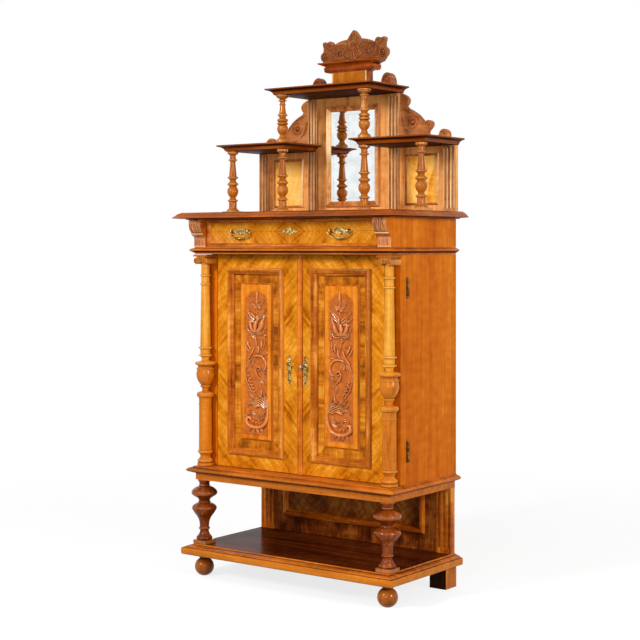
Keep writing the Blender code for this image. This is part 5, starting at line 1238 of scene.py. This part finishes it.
for side, sign in SIDES.items():
    half = smooth(DOOR_SCUTCHEON, 4)
    line = [(w * MM, z * MM) for z, w in half] + [(-w * MM, z * MM) for z, w in reversed(half)]
    bm = bmesh.new()
    x = sign * KEY_X
    scutcheon_y = DOOR_FRONT - 0.0022
    add_plate(bm, [(x + a, SCUTCHEON_Z + b) for a, b in line], scutcheon_y, DOOR_FRONT + 0.0004, 0.0008)
    on_scutcheon = on_plane(x, scutcheon_y, SCUTCHEON_Z)
    oval = [(a * 0.56, b + 0.016) for a, b in circle((0.0, 0.0), 0.0085, 24)]
    add_tube(bm, [on_scutcheon(a, b, 0.0) for a, b in oval], [0.0011] * len(oval), True, 8)
    for level, radius in ((49, 2.2), (37, 3.0), (-17, 3.4), (-37, 2.8), (-49, 2.0)):
        add_dome(bm, (0.0, level * MM), radius * MM, 0.0018, on_scutcheon)
    strokes = []
    for turn in (-1, 1):
        strokes.append(("leaf", 1.5, 1.6, (turn * 1.0, -4), (turn * 4.0, -10), (turn * 9.0, -17)))
        strokes.append(("leaf", 1.4, 1.4, (turn * 0.8, -24), (turn * 3.6, -31), (turn * 7.6, -37)))
        strokes.append(("leaf", 1.4, 1.4, (turn * 0.8, 30), (turn * 4.0, 33), (turn * 8.4, 38)))
        strokes.append(("leaf", 1.4, 1.4, (turn * 6.0, 4), (turn * 10.4, 10), (turn * 11.0, 19)))
        # Each piercing is a thin dark sheet in the stringing look, which paints the wood seen through it, in
        # shade
        for aside, above, radius in SCUTCHEON_HOLES:
            hole = circle((x + turn * aside * MM, SCUTCHEON_Z + above * MM), radius * MM, 12)
            add_plate(bm, hole, scutcheon_y - 0.0002, DOOR_FRONT + 0.0002, 0.0001, 2)
    carve(bm, strokes, on_scutcheon)
    # The keyhole is a thin dark sheet that paints the shade inside the hole
    add_plate(bm, keyhole_outline((x, KEY_Z)), scutcheon_y - 0.0002, DOOR_FRONT + 0.0002, 0.0001, 1)
    scutcheon_looks = ("brass", "hole_painted_shade", "stringing_and_hole_shade")
    dress(f"{side}_door_escutcheon", bm, scutcheon_looks, (), f"{side}_door")

# Door key: turned stem with collars, ring bow and bit. Collars are radius and reach from the door.
KEY_COLLARS = (
    (0.0032, 0.002), (0.0036, 0.004), (0.0030, 0.006), (0.0024, 0.007), (0.0024, 0.010),
    (0.0034, 0.012), (0.0030, 0.014),
)
BOW_RADIUS = 0.0085
BOW_STEPS = 40
low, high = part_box("door_key")
bow_y = low.y + 0.0105
bm = bmesh.new()
bow = [(KEY_X, y, z) for y, z in circle((bow_y, KEY_Z), BOW_RADIUS, BOW_STEPS)]
bow_wire = [0.0020 - 0.0004 * a for a, _ in circle((0.0, 0.0), 1.0, BOW_STEPS)]
add_tube(bm, bow, bow_wire, True)
shank = high.y - DOOR_FRONT
stem = [(0.0022, 0.0), (0.0025, 0.001), (0.0025, shank)]
stem += [(radius, shank + reach) for radius, reach in KEY_COLLARS]
stem.append((0.0018, high.y - bow_y - 0.0082))
add_spindle(bm, stem, (KEY_X, high.y, KEY_Z))
bit_y = (DOOR_FRONT + 0.019, DOOR_FRONT + 0.027)
add_box(bm, (KEY_X - 0.0012, KEY_X + 0.0012), bit_y, (KEY_Z - 0.009, KEY_Z - 0.00125))
dress("door_key_steel", bm, ("steel",), ("door_key",))

# Hinges: a carcase leaf with the outer knuckles, a door leaf with the middle knuckle
KNUCKLE = 0.005
KNUCKLE_GAP = 0.0002
HINGE_AXIS = (0.4654, -0.0835)
HINGE_TONGUE = (0.4595, 0.4620)
HINGE_PLATE = (0.442, 0.460)
FIXED_LEAF_Y = (-0.0825, -0.0809)
MOVING_LEAF_Y = (-0.0861, -0.0845)
for side, sign in SIDES.items():
    for level in ("upper", "lower"):
        fixed = f"{side}_{level}_hinge_carcase_leaf"
        moving = f"{side}_{level}_hinge_door_leaf"
        low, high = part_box(fixed)
        third = (high.z - low.z) / 3
        tongue = [sign * edge for edge in HINGE_TONGUE]
        plate_x = [sign * edge for edge in HINGE_PLATE]
        for node, y_range, spans in (
            (fixed, FIXED_LEAF_Y, ((0.0, third), (2 * third, 3 * third))),
            (moving, MOVING_LEAF_Y, ((third, 2 * third),)),
        ):
            bm = bmesh.new()
            add_box(bm, plate_x, y_range, (low.z, high.z))
            for start, end in spans:
                bottom, top = start + KNUCKLE_GAP, end - KNUCKLE_GAP
                barrel = [(KNUCKLE - 0.0008, top), (KNUCKLE, end - 0.001)]
                barrel += [(KNUCKLE, start + 0.001), (KNUCKLE - 0.0008, bottom)]
                add_lathe(bm, barrel, (sign * HINGE_AXIS[0], HINGE_AXIS[1], low.z), 32)
                add_box(bm, tongue, y_range, (low.z + bottom, low.z + top))
            dress(f"{node}_brass", bm, ("bronze",), (node,), bevel=0.0003)

# Drawer: sunk veneered field with stringing, handles and escutcheon
low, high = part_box("drawer_front")
drawer_x, drawer_z = (low.x, high.x), (low.z, high.z)
drawer_y = low.y
DRAWER_FIELD_Y = drawer_y + 0.007
DRAWER_SECTION = (
    (0.0, 0.0008), (0.0008, 0.0), (0.0028, 0.0), (0.0036, 0.0006), (0.0118, 0.0062), (0.0130, 0.0070),
)
bm = bmesh.new()
drawer_rings = [upright_ring(drawer_x, drawer_z, 0.0, high.y)]
drawer_rings += [upright_ring(drawer_x, drawer_z, inset, drawer_y + sink) for inset, sink in DRAWER_SECTION]
made = add_loft(bm, drawer_rings)
made[-1].material_index = 1
dress("drawer_front_wood", bm, ("lip", "drawer_veneer"), ("drawer_front",))

field_low, field_high = drawer_z[0] + 0.0130, drawer_z[1] - 0.0130
DIAMOND_HALF = (0.0715, 0.046)
bm = bmesh.new()
for across in (-1, 1):
    for up in (-1, 1):
        for inset in (0.0, 0.0032):
            edge = field_high if up > 0 else field_low
            rise = abs(edge - DRAWER_MIDDLE_Z)
            share = min(1.0, rise / DIAMOND_HALF[1])
            reach = DIAMOND_HALF[0] - inset * 1.6
            start = Vector((across * reach, DRAWER_MIDDLE_Z))
            end = Vector((across * reach * (1 - share), DRAWER_MIDDLE_Z + up * rise))
            along = (end - start).normalized()
            normal = Vector((-along.y, along.x)) * 0.0005
            corners = [tuple(start + normal), tuple(start - normal), tuple(end - normal), tuple(end + normal)]
            add_plate(bm, corners, DRAWER_FIELD_Y - 0.0002, DRAWER_FIELD_Y + 0.0006, 0.00005)
dress("drawer_stringing", bm, ("stringing_and_hole_shade",), (), "drawer")

HANDLE_X = 0.232
STUD_X = 0.0395
STUD = (
    (0.0075, -0.0006), (0.0078, 0.0008), (0.0068, 0.0022), (0.0050, 0.0030), (0.0042, 0.0060),
    (0.0048, 0.0078), (0.0048, 0.0132), (0.0042, 0.0150), (0.0024, 0.0160), (0.0004, 0.0162),
)
PLATE_HALF = (0.055, 0.015)
BAIL_DROP = 0.026
BAIL_RADIUS = 0.0030
PLATE_OUTLINE = (
    (1.0, 0.0), (0.97, 0.14), (0.88, 0.16), (0.82, 0.34), (0.74, 0.46), (0.64, 0.36), (0.56, 0.40),
    (0.46, 0.62), (0.36, 0.60), (0.26, 0.82), (0.14, 0.84), (0.0, 1.0),
)
BAIL_SHAPE = (
    (1.0, 0.19, 0.8), (0.985, 0.30, 0.85), (0.92, 0.42, 0.9), (0.72, 0.68, 1.0), (0.40, 0.94, 1.1),
    (0.16, 0.99, 1.25), (0.0, 1.0, 1.7),
)


def lens_outline(shape, half, centre):
    """A plate's outline from its upper right quarter."""
    quarter = smooth(shape, 4)
    upper = quarter + [(-x, z) for x, z in reversed(quarter[:-1])]
    whole = upper + [(x, -z) for x, z in reversed(upper[1:-1])]
    return [(centre[0] + x * half[0], centre[1] + z * half[1]) for x, z in whole]


plate_y = DRAWER_FIELD_Y - 0.0023
for side, sign in SIDES.items():
    x = sign * HANDLE_X
    on_plate = on_plane(x, plate_y, DRAWER_MIDDLE_Z)
    bm = bmesh.new()
    plate = lens_outline(PLATE_OUTLINE, PLATE_HALF, (x, DRAWER_MIDDLE_Z))
    add_plate(bm, plate, plate_y, DRAWER_FIELD_Y - SEAT_GAP, 0.0006)
    for end in (-1, 1):
        add_spindle(bm, STUD, (x + end * STUD_X, plate_y, DRAWER_MIDDLE_Z))
        strokes = [
            ("leaf", 1.9, 1.8, (end * 31, 0), (end * 24, 4), (end * 16, 6.5)),
            ("leaf", 1.9, 1.8, (end * 31, 0), (end * 24, -4), (end * 16, -6.5)),
            ("leaf", 1.9, 1.8, (end * 20, 0), (end * 12, 0), (end * 3, 0)),
            ("stem", 0.9, 1.4, (end * 15, 8), (end * 8, 10.5), (end * 1, 11.5)),
            ("stem", 0.9, 1.4, (end * 15, -8), (end * 8, -10.5), (end * 1, -11.5)),
            ("petal", 1.8, 1.6, (end * 46, 0), (end * 50, 0), (end * 54, 0)),
        ]
        carve(bm, strokes, on_plate)
    add_dome(bm, (0.0, 0.0), 0.0040, 0.0026, on_plate)
    dress(f"handle_plate_{side}_brass", bm, ("brass",), (f"handle_plate_{side}",))

    pivot_y = plate_y - 0.0105
    outer = STUD_X + 0.0048 + 0.0052
    half = [(0.0371, 0.0, 0.0017), (outer - 0.0017, 0.0, 0.0017), (outer, 0.05 * BAIL_DROP, 0.0020)]
    half += [(a * outer, d * BAIL_DROP, r * BAIL_RADIUS) for a, d, r in BAIL_SHAPE]
    half = half[:2] + smooth(half[2:], 5)
    whole = half + [(-a, d, r) for a, d, r in reversed(half[:-1])]
    bm = bmesh.new()
    add_tube(bm, [(x + a, pivot_y, DRAWER_MIDDLE_Z - d) for a, d, _ in whole], [r for _, _, r in whole])
    dress(f"bail_{side}_brass", bm, ("brass",), (f"bail_{side}",))

SCUTCHEON_OUTLINE = (
    (1.0, 0.0), (0.94, 0.20), (0.84, 0.22), (0.74, 0.42), (0.62, 0.34), (0.52, 0.44), (0.40, 0.66),
    (0.30, 0.62), (0.20, 0.84), (0.10, 0.86), (0.0, 1.0),
)
bm = bmesh.new()
scutcheon = lens_outline(SCUTCHEON_OUTLINE, (0.040, 0.0165), (0.0, DRAWER_MIDDLE_Z))
add_plate(bm, scutcheon, plate_y, DRAWER_FIELD_Y + 0.0004, 0.0006)
on_drawer = on_plane(0.0, plate_y, DRAWER_MIDDLE_Z)
rim = [(a * 0.0075, b * 0.0095) for a, b in circle((0.0, 0.0), 1.0, 28)]
add_tube(bm, [on_drawer(a, b, 0.0) for a, b in rim], [0.0011] * len(rim), True, 8)
for end in (-1, 1):
    strokes = [
        ("leaf", 2.2, 2.0, (end * 9, 1), (end * 17, 4), (end * 26, 5)),
        ("leaf", 2.2, 2.0, (end * 9, -1), (end * 17, -4), (end * 26, -5)),
        ("petal", 2.0, 2.0, (end * 26, 0), (end * 32, 0), (end * 38, 0)),
    ]
    carve(bm, strokes, on_drawer)
# The keyhole is a thin dark sheet that paints the shade inside the hole
add_plate(bm, keyhole_outline((0.0, DRAWER_MIDDLE_Z)), plate_y - 0.0002, DRAWER_FIELD_Y, 0.0001, 1)
dress("drawer_escutcheon", bm, ("brass", "hole_painted_shade"), (), "drawer")

# Carved corbels beside the drawer, with cheek spirals low enough for the drawer to pass
CHEEK_RELIEF = 0.0010
CORBEL_REACH = 0.038
CORBEL_BACK = 0.030
CORBEL_EASE = 0.0012
for side, sign in SIDES.items():
    node = f"corbel_{side}"
    low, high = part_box(node)
    tall = high.z - low.z
    outline = [(reach, up * tall / CORBEL_OUTLINE[-1][1]) for reach, up in smooth(CORBEL_OUTLINE, 5)]
    plane_y = low.y + CORBEL_REACH
    left, right = low.x, high.x
    bm = bmesh.new()
    section = outline + [(-CORBEL_BACK, tall), (-CORBEL_BACK, 0.0)]
    rings = []
    inside = (left + CORBEL_EASE, right - CORBEL_EASE)
    for x, ease in ((left, CORBEL_EASE), (inside[0], 0.0), (inside[1], 0.0), (right, CORBEL_EASE)):
        ring = [(x, plane_y - reach + (ease if reach > 0 else 0.0), low.z + up) for reach, up in section]
        rings.append(ring)
    for cheek in add_loft(bm, rings)[-2:]:
        cheek.material_index = 1

    def on_corbel(across, run, out, line=outline, x=(left + right) / 2, y=plane_y, z=low.z):
        step = max(0.0, min(1.0, run)) * (len(line) - 1)
        i = min(int(step), len(line) - 2)
        here = Vector(line[i]).lerp(Vector(line[i + 1]), step - i)
        along = Vector(line[min(i + 1, len(line) - 1)]) - Vector(line[max(i - 1, 0)])
        normal = Vector((along.y, -along.x)).normalized()
        point = here + normal * out
        return (x + across, y - point.x, z + point.y)

    for across, lean in ((0.0, 0.0), (0.0165, 0.005), (-0.0165, -0.005)):
        leaf = [(across * 0.7, 0.99), (across, 0.85), (across + lean * 0.6, 0.70), (across + lean, 0.585)]
        add_stroke(bm, "leaf", 0.0078, 0.0046, leaf, on_corbel, steps=8)
    # A bead under the leaves in the pale look, a painted highlight
    bead = [on_corbel((right - left) * share, 0.44, 0.0006) for share in (-0.5, 0.0, 0.5)]
    add_tube(bm, bead, [0.0022] * 3, index=2)
    for across in (-0.016, 0.0, 0.016):
        petal = [(across, 0.015), (across, 0.05), (across, 0.085)]
        add_stroke(bm, "petal", 0.0050, 0.0026, petal, on_corbel, steps=4)
    inner_x = left if sign > 0 else right

    def on_cheek(reach, up, out, x=inner_x, turn=-sign, y=plane_y, z=low.z):
        return (x + turn * out, y - reach, z + up)

    eye = (0.020, tall - 0.017)
    winding = spiral(eye, 0.0155, 0.0030, -20, -1.6, 14)
    add_stroke(bm, "stem", 0.0022, CHEEK_RELIEF, winding, on_cheek, steps=3)
    add_dome(bm, eye, 0.0034, CHEEK_RELIEF, on_cheek)
    dress(f"{node}_carving", bm, ("corbel", "side_veneer", "arris_painted_highlight"), (node,))

# Gallery back with fluted pilasters, wing panels and the mirror in its frame
GALLERY_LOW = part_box("gallery_back")[0].z
WING_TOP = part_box("side_shelf_left")[0].z - SEAT_GAP
GALLERY_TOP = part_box("top_shelf")[0].z - SEAT_GAP
CENTRE_HALF = 0.218
WING_END = 0.469
PILASTER_FRONT = 0.2275
PILASTER_FLUTE = (0.0052, 0.0046)
WING_PILASTER = 0.047
WING_MARGIN = 0.026
WING_SECTION = (
    (0.0, -0.001), (0.0, 0.0024), (0.001, 0.0036), (0.0028, 0.0056), (0.0045, 0.006), (0.0062, 0.0054),
    (0.0076, 0.0034), (0.009, 0.0012), (0.009, -0.001),
)
PILASTERS = ((CENTRE_HALF - 0.001, 0.045, GALLERY_TOP), (WING_END - 0.001, WING_PILASTER, WING_TOP))
bm = bmesh.new()
half = [(WING_END, GALLERY_LOW), (WING_END, WING_TOP), (CENTRE_HALF, WING_TOP), (CENTRE_HALF, GALLERY_TOP)]
add_plate(bm, half + mirrored(half), GALLERY_FRONT, BACK, 0.0004)
for side, sign in SIDES.items():
    for far_edge, width, top in PILASTERS:
        spread = [sign * far_edge, sign * (far_edge - width)]
        span_z = (GALLERY_LOW + 0.0002, top - 0.0002)
        stops = (GALLERY_LOW + 0.012, top - 0.010)
        far = GALLERY_FRONT + 0.001
        # The flats between the flutes take the pale look, a painted highlight
        add_fluted(bm, spread, PILASTER_FRONT, far, span_z, FLUTES, *PILASTER_FLUTE, stops, 1, 4)
    wing_x = (sign * (CENTRE_HALF + WING_MARGIN), sign * (WING_END - WING_PILASTER - WING_MARGIN))
    wing_z = (GALLERY_LOW + WING_MARGIN, WING_TOP - WING_MARGIN)
    # The right-hand upright of each wing frame takes the pale look, a painted highlight
    for face in add_frame(bm, wing_x, wing_z, GALLERY_FRONT, WING_SECTION, 2, 2):
        aside, above = insets(face, wing_x, wing_z)
        if aside < above and face.calc_center_median().x > sum(wing_x) / 2:
            face.material_index = 4
    wing_edge = ((0.0085, -0.001), (0.0085, 0.0006), (0.009, 0.0008))
    rings = [upright_ring(wing_x, wing_z, inset, GALLERY_FRONT - rise) for inset, rise in wing_edge]
    add_loft(bm, rings, index=3)
gallery_looks = ("gallery_ground", "pilaster", "mirror_moulding", "gallery_veneer", "arris_painted_highlight")
dress("gallery_back_wood", bm, gallery_looks, ("gallery_back",), bevel=0.0006)

MIRROR_SHAPE = (
    (0.0, 0.55), (0.06, 0.80), (0.2, 1.0), (0.38, 0.98), (0.48, 0.80), (0.58, 0.74), (0.72, 0.84),
    (0.86, 0.72), (1.0, 0.52),
)
MIRROR_SLIP = 0.004
low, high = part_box("mirror_frame")
bm = bmesh.new()
mirror_section = [(0.0, SEAT_GAP)] + [(p.x * 0.022, p.y * 0.012) for p in curve(MIRROR_SHAPE, 3)]
mirror_section += [(0.022, 0.0046), (0.0177, 0.0046), (0.0177, SEAT_GAP)]
mirror_x, mirror_z = (low.x, high.x), (low.z, high.z)
# The inner slips of the frame's uprights take the pale look, a painted highlight
for face in add_frame(bm, mirror_x, mirror_z, GALLERY_FRONT, mirror_section):
    aside, above = insets(face, mirror_x, mirror_z)
    face.material_index = int(MIRROR_SLIP < aside < above)
dress("mirror_frame_wood", bm, ("mirror_moulding", "arris_painted_highlight"), ("mirror_frame",))
low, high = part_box("mirror_glass")
glass_edge = ((0.0, 0.0012), (0.0005, 0.0006), (0.016, 0.0001), (0.0165, 0.0))
glass_x, glass_z = (low.x, high.x), (low.z, high.z)
glass = [upright_ring(glass_x, glass_z, 0.0, high.y)]
glass += [upright_ring(glass_x, glass_z, inset, low.y + sink) for inset, sink in glass_edge]
bm = bmesh.new()
add_loft(bm, glass)
dress("mirror_glass_silvered", bm, ("mirror",), ("mirror_glass",), sharp=1.0)

# Sawn and carved scroll brackets beside the mirror
BRACKET_CARVING = (
    ("stem", 3.4, 4, *spiral((58, 70), 24, 20, 150, -1.15, 18)),
    ("stem", 3.0, 3.5, (8, 118), (24, 122), (40, 112), (62, 104), (84, 88), (101, 70), (108, 54)),
    ("stem", 3.0, 3.5, *spiral((130, 54), 15, 3.5, 160, -1.5, 14)),
    ("leaf", 7, 4.5, (10, 96), (16, 70), (26, 46), (44, 30)),
    ("leaf", 6, 4, (60, 20), (90, 14), (118, 14), (146, 8)),
    ("stem", 2.6, 3.2, *spiral((200, 19), 13, 3.0, 170, -1.4, 12)),
)
BRACKET_BOSS = ("berry", 13, 8, (58, 70))
BRACKET_THICK = 0.018
for side, sign in SIDES.items():
    node = f"scroll_bracket_{side}"
    low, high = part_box(node)
    inner = sign * (CENTRE_HALF + SEAT_GAP)
    outer, top = SPLAT_OUTLINE[-1][0], SPLAT_OUTLINE[0][1]
    points = [(0.0, 0.0), (0.0, top)] + smooth(SPLAT_OUTLINE, 5) + [(outer, 0.0)]
    placed = [(inner + sign * a, low.z + b) for a, b in points]
    near = BACK - BRACKET_THICK
    bm = bmesh.new()
    add_plate(bm, placed, near, BACK, 0.0016)
    on_bracket = on_plane(inner, near, low.z, sign)
    carve(bm, BRACKET_CARVING, on_bracket)
    carve(bm, (BRACKET_BOSS,), on_bracket, 1)
    dress(f"{node}_carving", bm, ("bracket", "boss"), (node,))

# Crown: a pedestal with frieze panel, cornice and scrolls, under a carved crest
CROWN_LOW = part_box("crown_pedestal")[0].z
CREST_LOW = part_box("crown_crest")[0].z
DIE_HALF = 0.0815
DIE_DEPTH = 0.046
CORNICE_HALF = 0.143
CORNICE_DEPTH = 0.063
CORNICE_HEIGHT = 0.0197
CORNICE_DROP = 0.020
SCROLL_THICK = 0.028
CREST_THICK = 0.016
die_y = BACK - DIE_DEPTH
bm = bmesh.new()
add_box(bm, (-DIE_HALF, DIE_HALF), (die_y, BACK), (CROWN_LOW, CREST_LOW - 0.010))
cornice_low = CREST_LOW - CORNICE_DROP
cornice = []
for setback, share in smooth(CORNICE_EDGE, 4):
    half = CORNICE_HALF - setback
    near = BACK - CORNICE_DEPTH + setback / 2
    z = cornice_low + share * CORNICE_HEIGHT
    cornice.append([(-half, near, z), (half, near, z), (half, BACK - 0.0005, z), (-half, BACK - 0.0005, z)])
add_loft(bm, cornice)
frieze_x, frieze_z = (-DIE_HALF + 0.005, DIE_HALF - 0.005), (CROWN_LOW + 0.004, CROWN_LOW + 0.0685)
frieze_edge = ((0.0, -0.0005), (0.0, 0.0004), (0.0005, 0.0007))
rings = [upright_ring(frieze_x, frieze_z, inset, die_y - rise) for inset, rise in frieze_edge]
add_loft(bm, rings, index=2)
top = frieze_z[1]
# Corner beads in the pale look, a painted highlight
bead = [(0.0022, top), (0.0030, top - 0.002), (0.0030, CROWN_LOW + 0.002), (0.0022, CROWN_LOW)]
for sign in SIDES.values():
    add_lathe(bm, bead, (sign * (DIE_HALF - 0.002), die_y, 0.0), 16, 1)
scroll = smooth(CROWN_SCROLL_OUTLINE[1:-1], 5)
scroll = [CROWN_SCROLL_OUTLINE[0]] + scroll + [CROWN_SCROLL_OUTLINE[-1]]
near = BACK - 0.001 - SCROLL_THICK
add_plate(bm, [(x, CROWN_LOW + z) for x, z in mirrored(scroll) + scroll], near, BACK - 0.001, 0.0014, 3)
ears = list(PEDESTAL_EAR_OUTLINE)
ears = [(x, CROWN_LOW + z) for x, z in mirrored(ears) + ears]
add_plate(bm, ears, BACK - 0.047, BACK - 0.002, 0.0012)
SCROLL_BOSS = ("berry", 10, 7, (166, 30))
SCROLL_CARVING = (
    ("stem", 2.8, 3.2, *spiral((165, 29), 20, 14, -40, 1.05, 16)),
    ("leaf", 5, 3.5, (88, 4), (108, 5), (128, 8)),
)
for sign in SIDES.values():
    on_scroll = on_plane(0.0, near, CROWN_LOW, sign)
    carve(bm, SCROLL_CARVING, on_scroll, 3)
    carve(bm, (SCROLL_BOSS,), on_scroll, 4)
pedestal_looks = ("top_nose", "arris_painted_highlight", "frieze", "crest", "boss")
dress("crown_pedestal_wood", bm, pedestal_looks, ("crown_pedestal",), bevel=0.0006)

CREST_MIDDLE = (
    ("leaf", 7, 6, (0, 78), (0, 98), (0, 121)),
    ("leaf", 9, 7, (0, 10), (0, 34), (0, 62)),
    ("berry", 6, 6, (0, 70)),
)
CREST_SIDE = (
    ("leaf", 6, 5, (3, 78), (9, 95), (13, 110)),
    ("leaf", 6, 5, (6, 74), (16, 86), (23, 97)),
    ("leaf", 7, 5, (20, 58), (29, 72), (36, 86)),
    ("leaf", 7, 5, (36, 56), (46, 70), (55, 83)),
    ("leaf", 7, 5, (52, 53), (63, 65), (74, 77)),
    ("leaf", 6, 4.5, (70, 48), (80, 57), (91, 68)),
    ("leaf", 8, 6, (5, 12), (17, 30), (26, 46), (20, 58)),
    ("leaf", 8, 5, (10, 8), (32, 16), (48, 30), (50, 44)),
    ("stem", 3.2, 4, *spiral((66, 34), 14, 3, 190, -1.4, 12)),
    ("berry", 4, 4.5, (66, 34)),
    ("stem", 4, 4.5, (18, 6), (48, 8), (84, 11), (116, 10)),
    ("stem", 4.2, 5, *spiral((138, 29), 18, 4, -110, 1.75, 18)),
    ("berry", 5, 5.5, (138, 29)),
    ("leaf", 6, 4.5, (84, 18), (98, 32), (107, 52), (111, 72)),
    ("leaf", 6, 4.5, (112, 54), (122, 60), (132, 68), (145, 76)),
    ("berry", 6.5, 5.5, (116, 79)),
    ("berry", 6.5, 5.5, (143, 79)),
    ("leaf", 6, 4.5, (84, 46), (92, 38), (100, 24)),
)
bm = bmesh.new()
crest = smooth(CREST_OUTLINE, 5)
crest = [(x, CREST_LOW + z) for x, z in crest + mirrored(crest)[:-1]]
near = BACK - CREST_THICK
add_plate(bm, crest, near, BACK, 0.0012)
for sign in SIDES.values():
    on_crest = on_plane(0.0, near, CREST_LOW, sign)
    carve(bm, CREST_SIDE, on_crest)
carve(bm, CREST_MIDDLE, on_crest)
dress("crown_crest_carving", bm, ("crest",), ("crown_crest",))

# Plain nodes that keep their solids
KEPT_LOOKS = {"carcase_back": "pine", "inner_shelf": "pine_x", "drawer_box": "pine_x", "lock_bolt": "steel"}
for node, look in KEPT_LOOKS.items():
    data = frame["nodes"][node].data
    data.materials.clear()
    data.materials.append(LOOKS[look])

# Stage, light and camera
FLOOR_GLOW = 0.78
FLOOR_RADIUS = 9.0
FLOOR_FADE = (1.0, 3.0)
FLOOR_TONES = (0.27, 0.29)
floor_mesh = bmesh.new()
bmesh.ops.create_circle(floor_mesh, cap_ends=True, segments=96, radius=FLOOR_RADIUS)
floor_data = bpy.data.meshes.new("floor")
floor_mesh.to_mesh(floor_data)
floor_mesh.free()
floor = bpy.data.objects.new("floor", floor_data)
bpy.context.scene.collection.objects.link(floor)
floor_graph = Graph("floor")
floor_place = floor_graph.object_place()
floor_reach = floor_graph.add("ShaderNodeVectorMath", {0: floor_place}, operation="LENGTH").outputs["Value"]
floor_fleck = floor_graph.noise(floor_place, 40.0, 3.0)
floor_stops = [(at, (tone, tone, tone, 1.0)) for at, tone in zip((0.3, 0.7), FLOOR_TONES)]
floor_tone = floor_graph.ramp(floor_fleck, floor_stops)
floor_graph.finish(floor_tone, 0.9, floor_fleck, 0.02, 0.0)
floor_seen = floor_graph.add("ShaderNodeLightPath", {}).outputs
floor_direct = floor_graph.calc("MAXIMUM", floor_seen["Is Camera Ray"], floor_seen["Is Glossy Ray"])
floor_glow = floor_graph.calc("MULTIPLY", floor_direct, FLOOR_GLOW)
floor_graph.shader.inputs["Emission Color"].default_value = (1.0, 1.0, 1.0, 1.0)
floor_graph.put(floor_graph.shader.inputs["Emission Strength"], floor_glow)
clear = floor_graph.add("ShaderNodeBsdfTransparent", {}).outputs[0]
fading = floor_graph.span(floor_reach, *FLOOR_FADE)
blend = floor_graph.add("ShaderNodeMixShader", {0: fading, 1: floor_graph.shader.outputs[0], 2: clear})
floor_graph.put(floor_graph.tree.nodes["Material Output"].inputs["Surface"], blend.outputs[0])
floor_data.materials.append(floor_graph.material)

AMBIENT_LOW = 0.04
AMBIENT_HIGH = 0.24
AMBIENT_BACK = 0.6
BACK_HEADING = (-0.45, 0.89, 0.0)
SKY_SPAN = (-0.25, 0.35)
BACK_SPAN = (0.1, 0.7)


class WorldGraph(Graph):
    """The nodes of the world."""

    def __init__(self, name):
        self.world = bpy.data.worlds.new(name)
        self.world.use_nodes = True
        self.tree = self.world.node_tree
        self.shader = self.tree.nodes["Background"]

    def between(self, value, span, low, high):
        """From low to high as the value crosses a span."""
        inputs = {"Value": value, "From Min": span[0], "From Max": span[1], "To Min": low, "To Max": high}
        return self.add("ShaderNodeMapRange", inputs).outputs[0]


studio = WorldGraph("studio")
bpy.context.scene.world = studio.world
studio.shader.inputs["Color"].default_value = (1.0, 1.0, 1.0, 1.0)
rays = studio.add("ShaderNodeLightPath", {}).outputs
seen = rays["Is Camera Ray"]
for kind in ("Is Glossy Ray", "Is Transmission Ray"):
    seen = studio.calc("MAXIMUM", seen, rays[kind])
heading = studio.add("ShaderNodeTexCoord", {}).outputs["Generated"]
ambient = studio.between(studio.split(heading)["Z"], SKY_SPAN, AMBIENT_LOW, AMBIENT_HIGH)
inputs = {0: heading, 1: BACK_HEADING}
behind = studio.add("ShaderNodeVectorMath", inputs, operation="DOT_PRODUCT").outputs["Value"]
around = studio.calc("ADD", ambient, studio.between(behind, BACK_SPAN, 0.0, AMBIENT_BACK))
studio.put(studio.shader.inputs["Strength"], studio.between(seen, (0.0, 1.0), around, 1.0))


# Soft lamps, all aimed at the cabinet's middle: place, width and height, and power
LIGHT_TARGET = Vector((0.0, 0.0, 1.1))
SOFTBOXES = {
    "key": ((-1.2, -4.8, 3.2), (1.0, 1.4), 215.0),
    "fill": ((4.6, -0.9, 2.0), (1.0, 1.4), 135.0),
    "front": ((2.0, -4.8, 1.4), (1.4, 1.6), 66.0),
}
for name, (location, size, power) in SOFTBOXES.items():
    lamp = bpy.data.lights.new(name, "AREA")
    lamp.shape = "RECTANGLE"
    lamp.size, lamp.size_y = size
    lamp.energy = power
    softbox = bpy.data.objects.new(name, lamp)
    softbox.location = location
    softbox.rotation_euler = (LIGHT_TARGET - Vector(location)).to_track_quat("-Z", "Y").to_euler()
    bpy.context.scene.collection.objects.link(softbox)

camera_data = bpy.data.cameras.new("camera")
camera_data.lens = 82.5
camera_data.sensor_width = 36.0
camera_data.shift_y = -0.1132
camera = bpy.data.objects.new("camera", camera_data)
camera.location = (3.330, -4.4745, 1.272)
camera.rotation_euler = (math.pi / 2, 0.0, math.radians(36.56))
bpy.context.scene.collection.objects.link(camera)
bpy.context.scene.camera = camera
bpy.context.scene.view_settings.view_transform = "Standard"
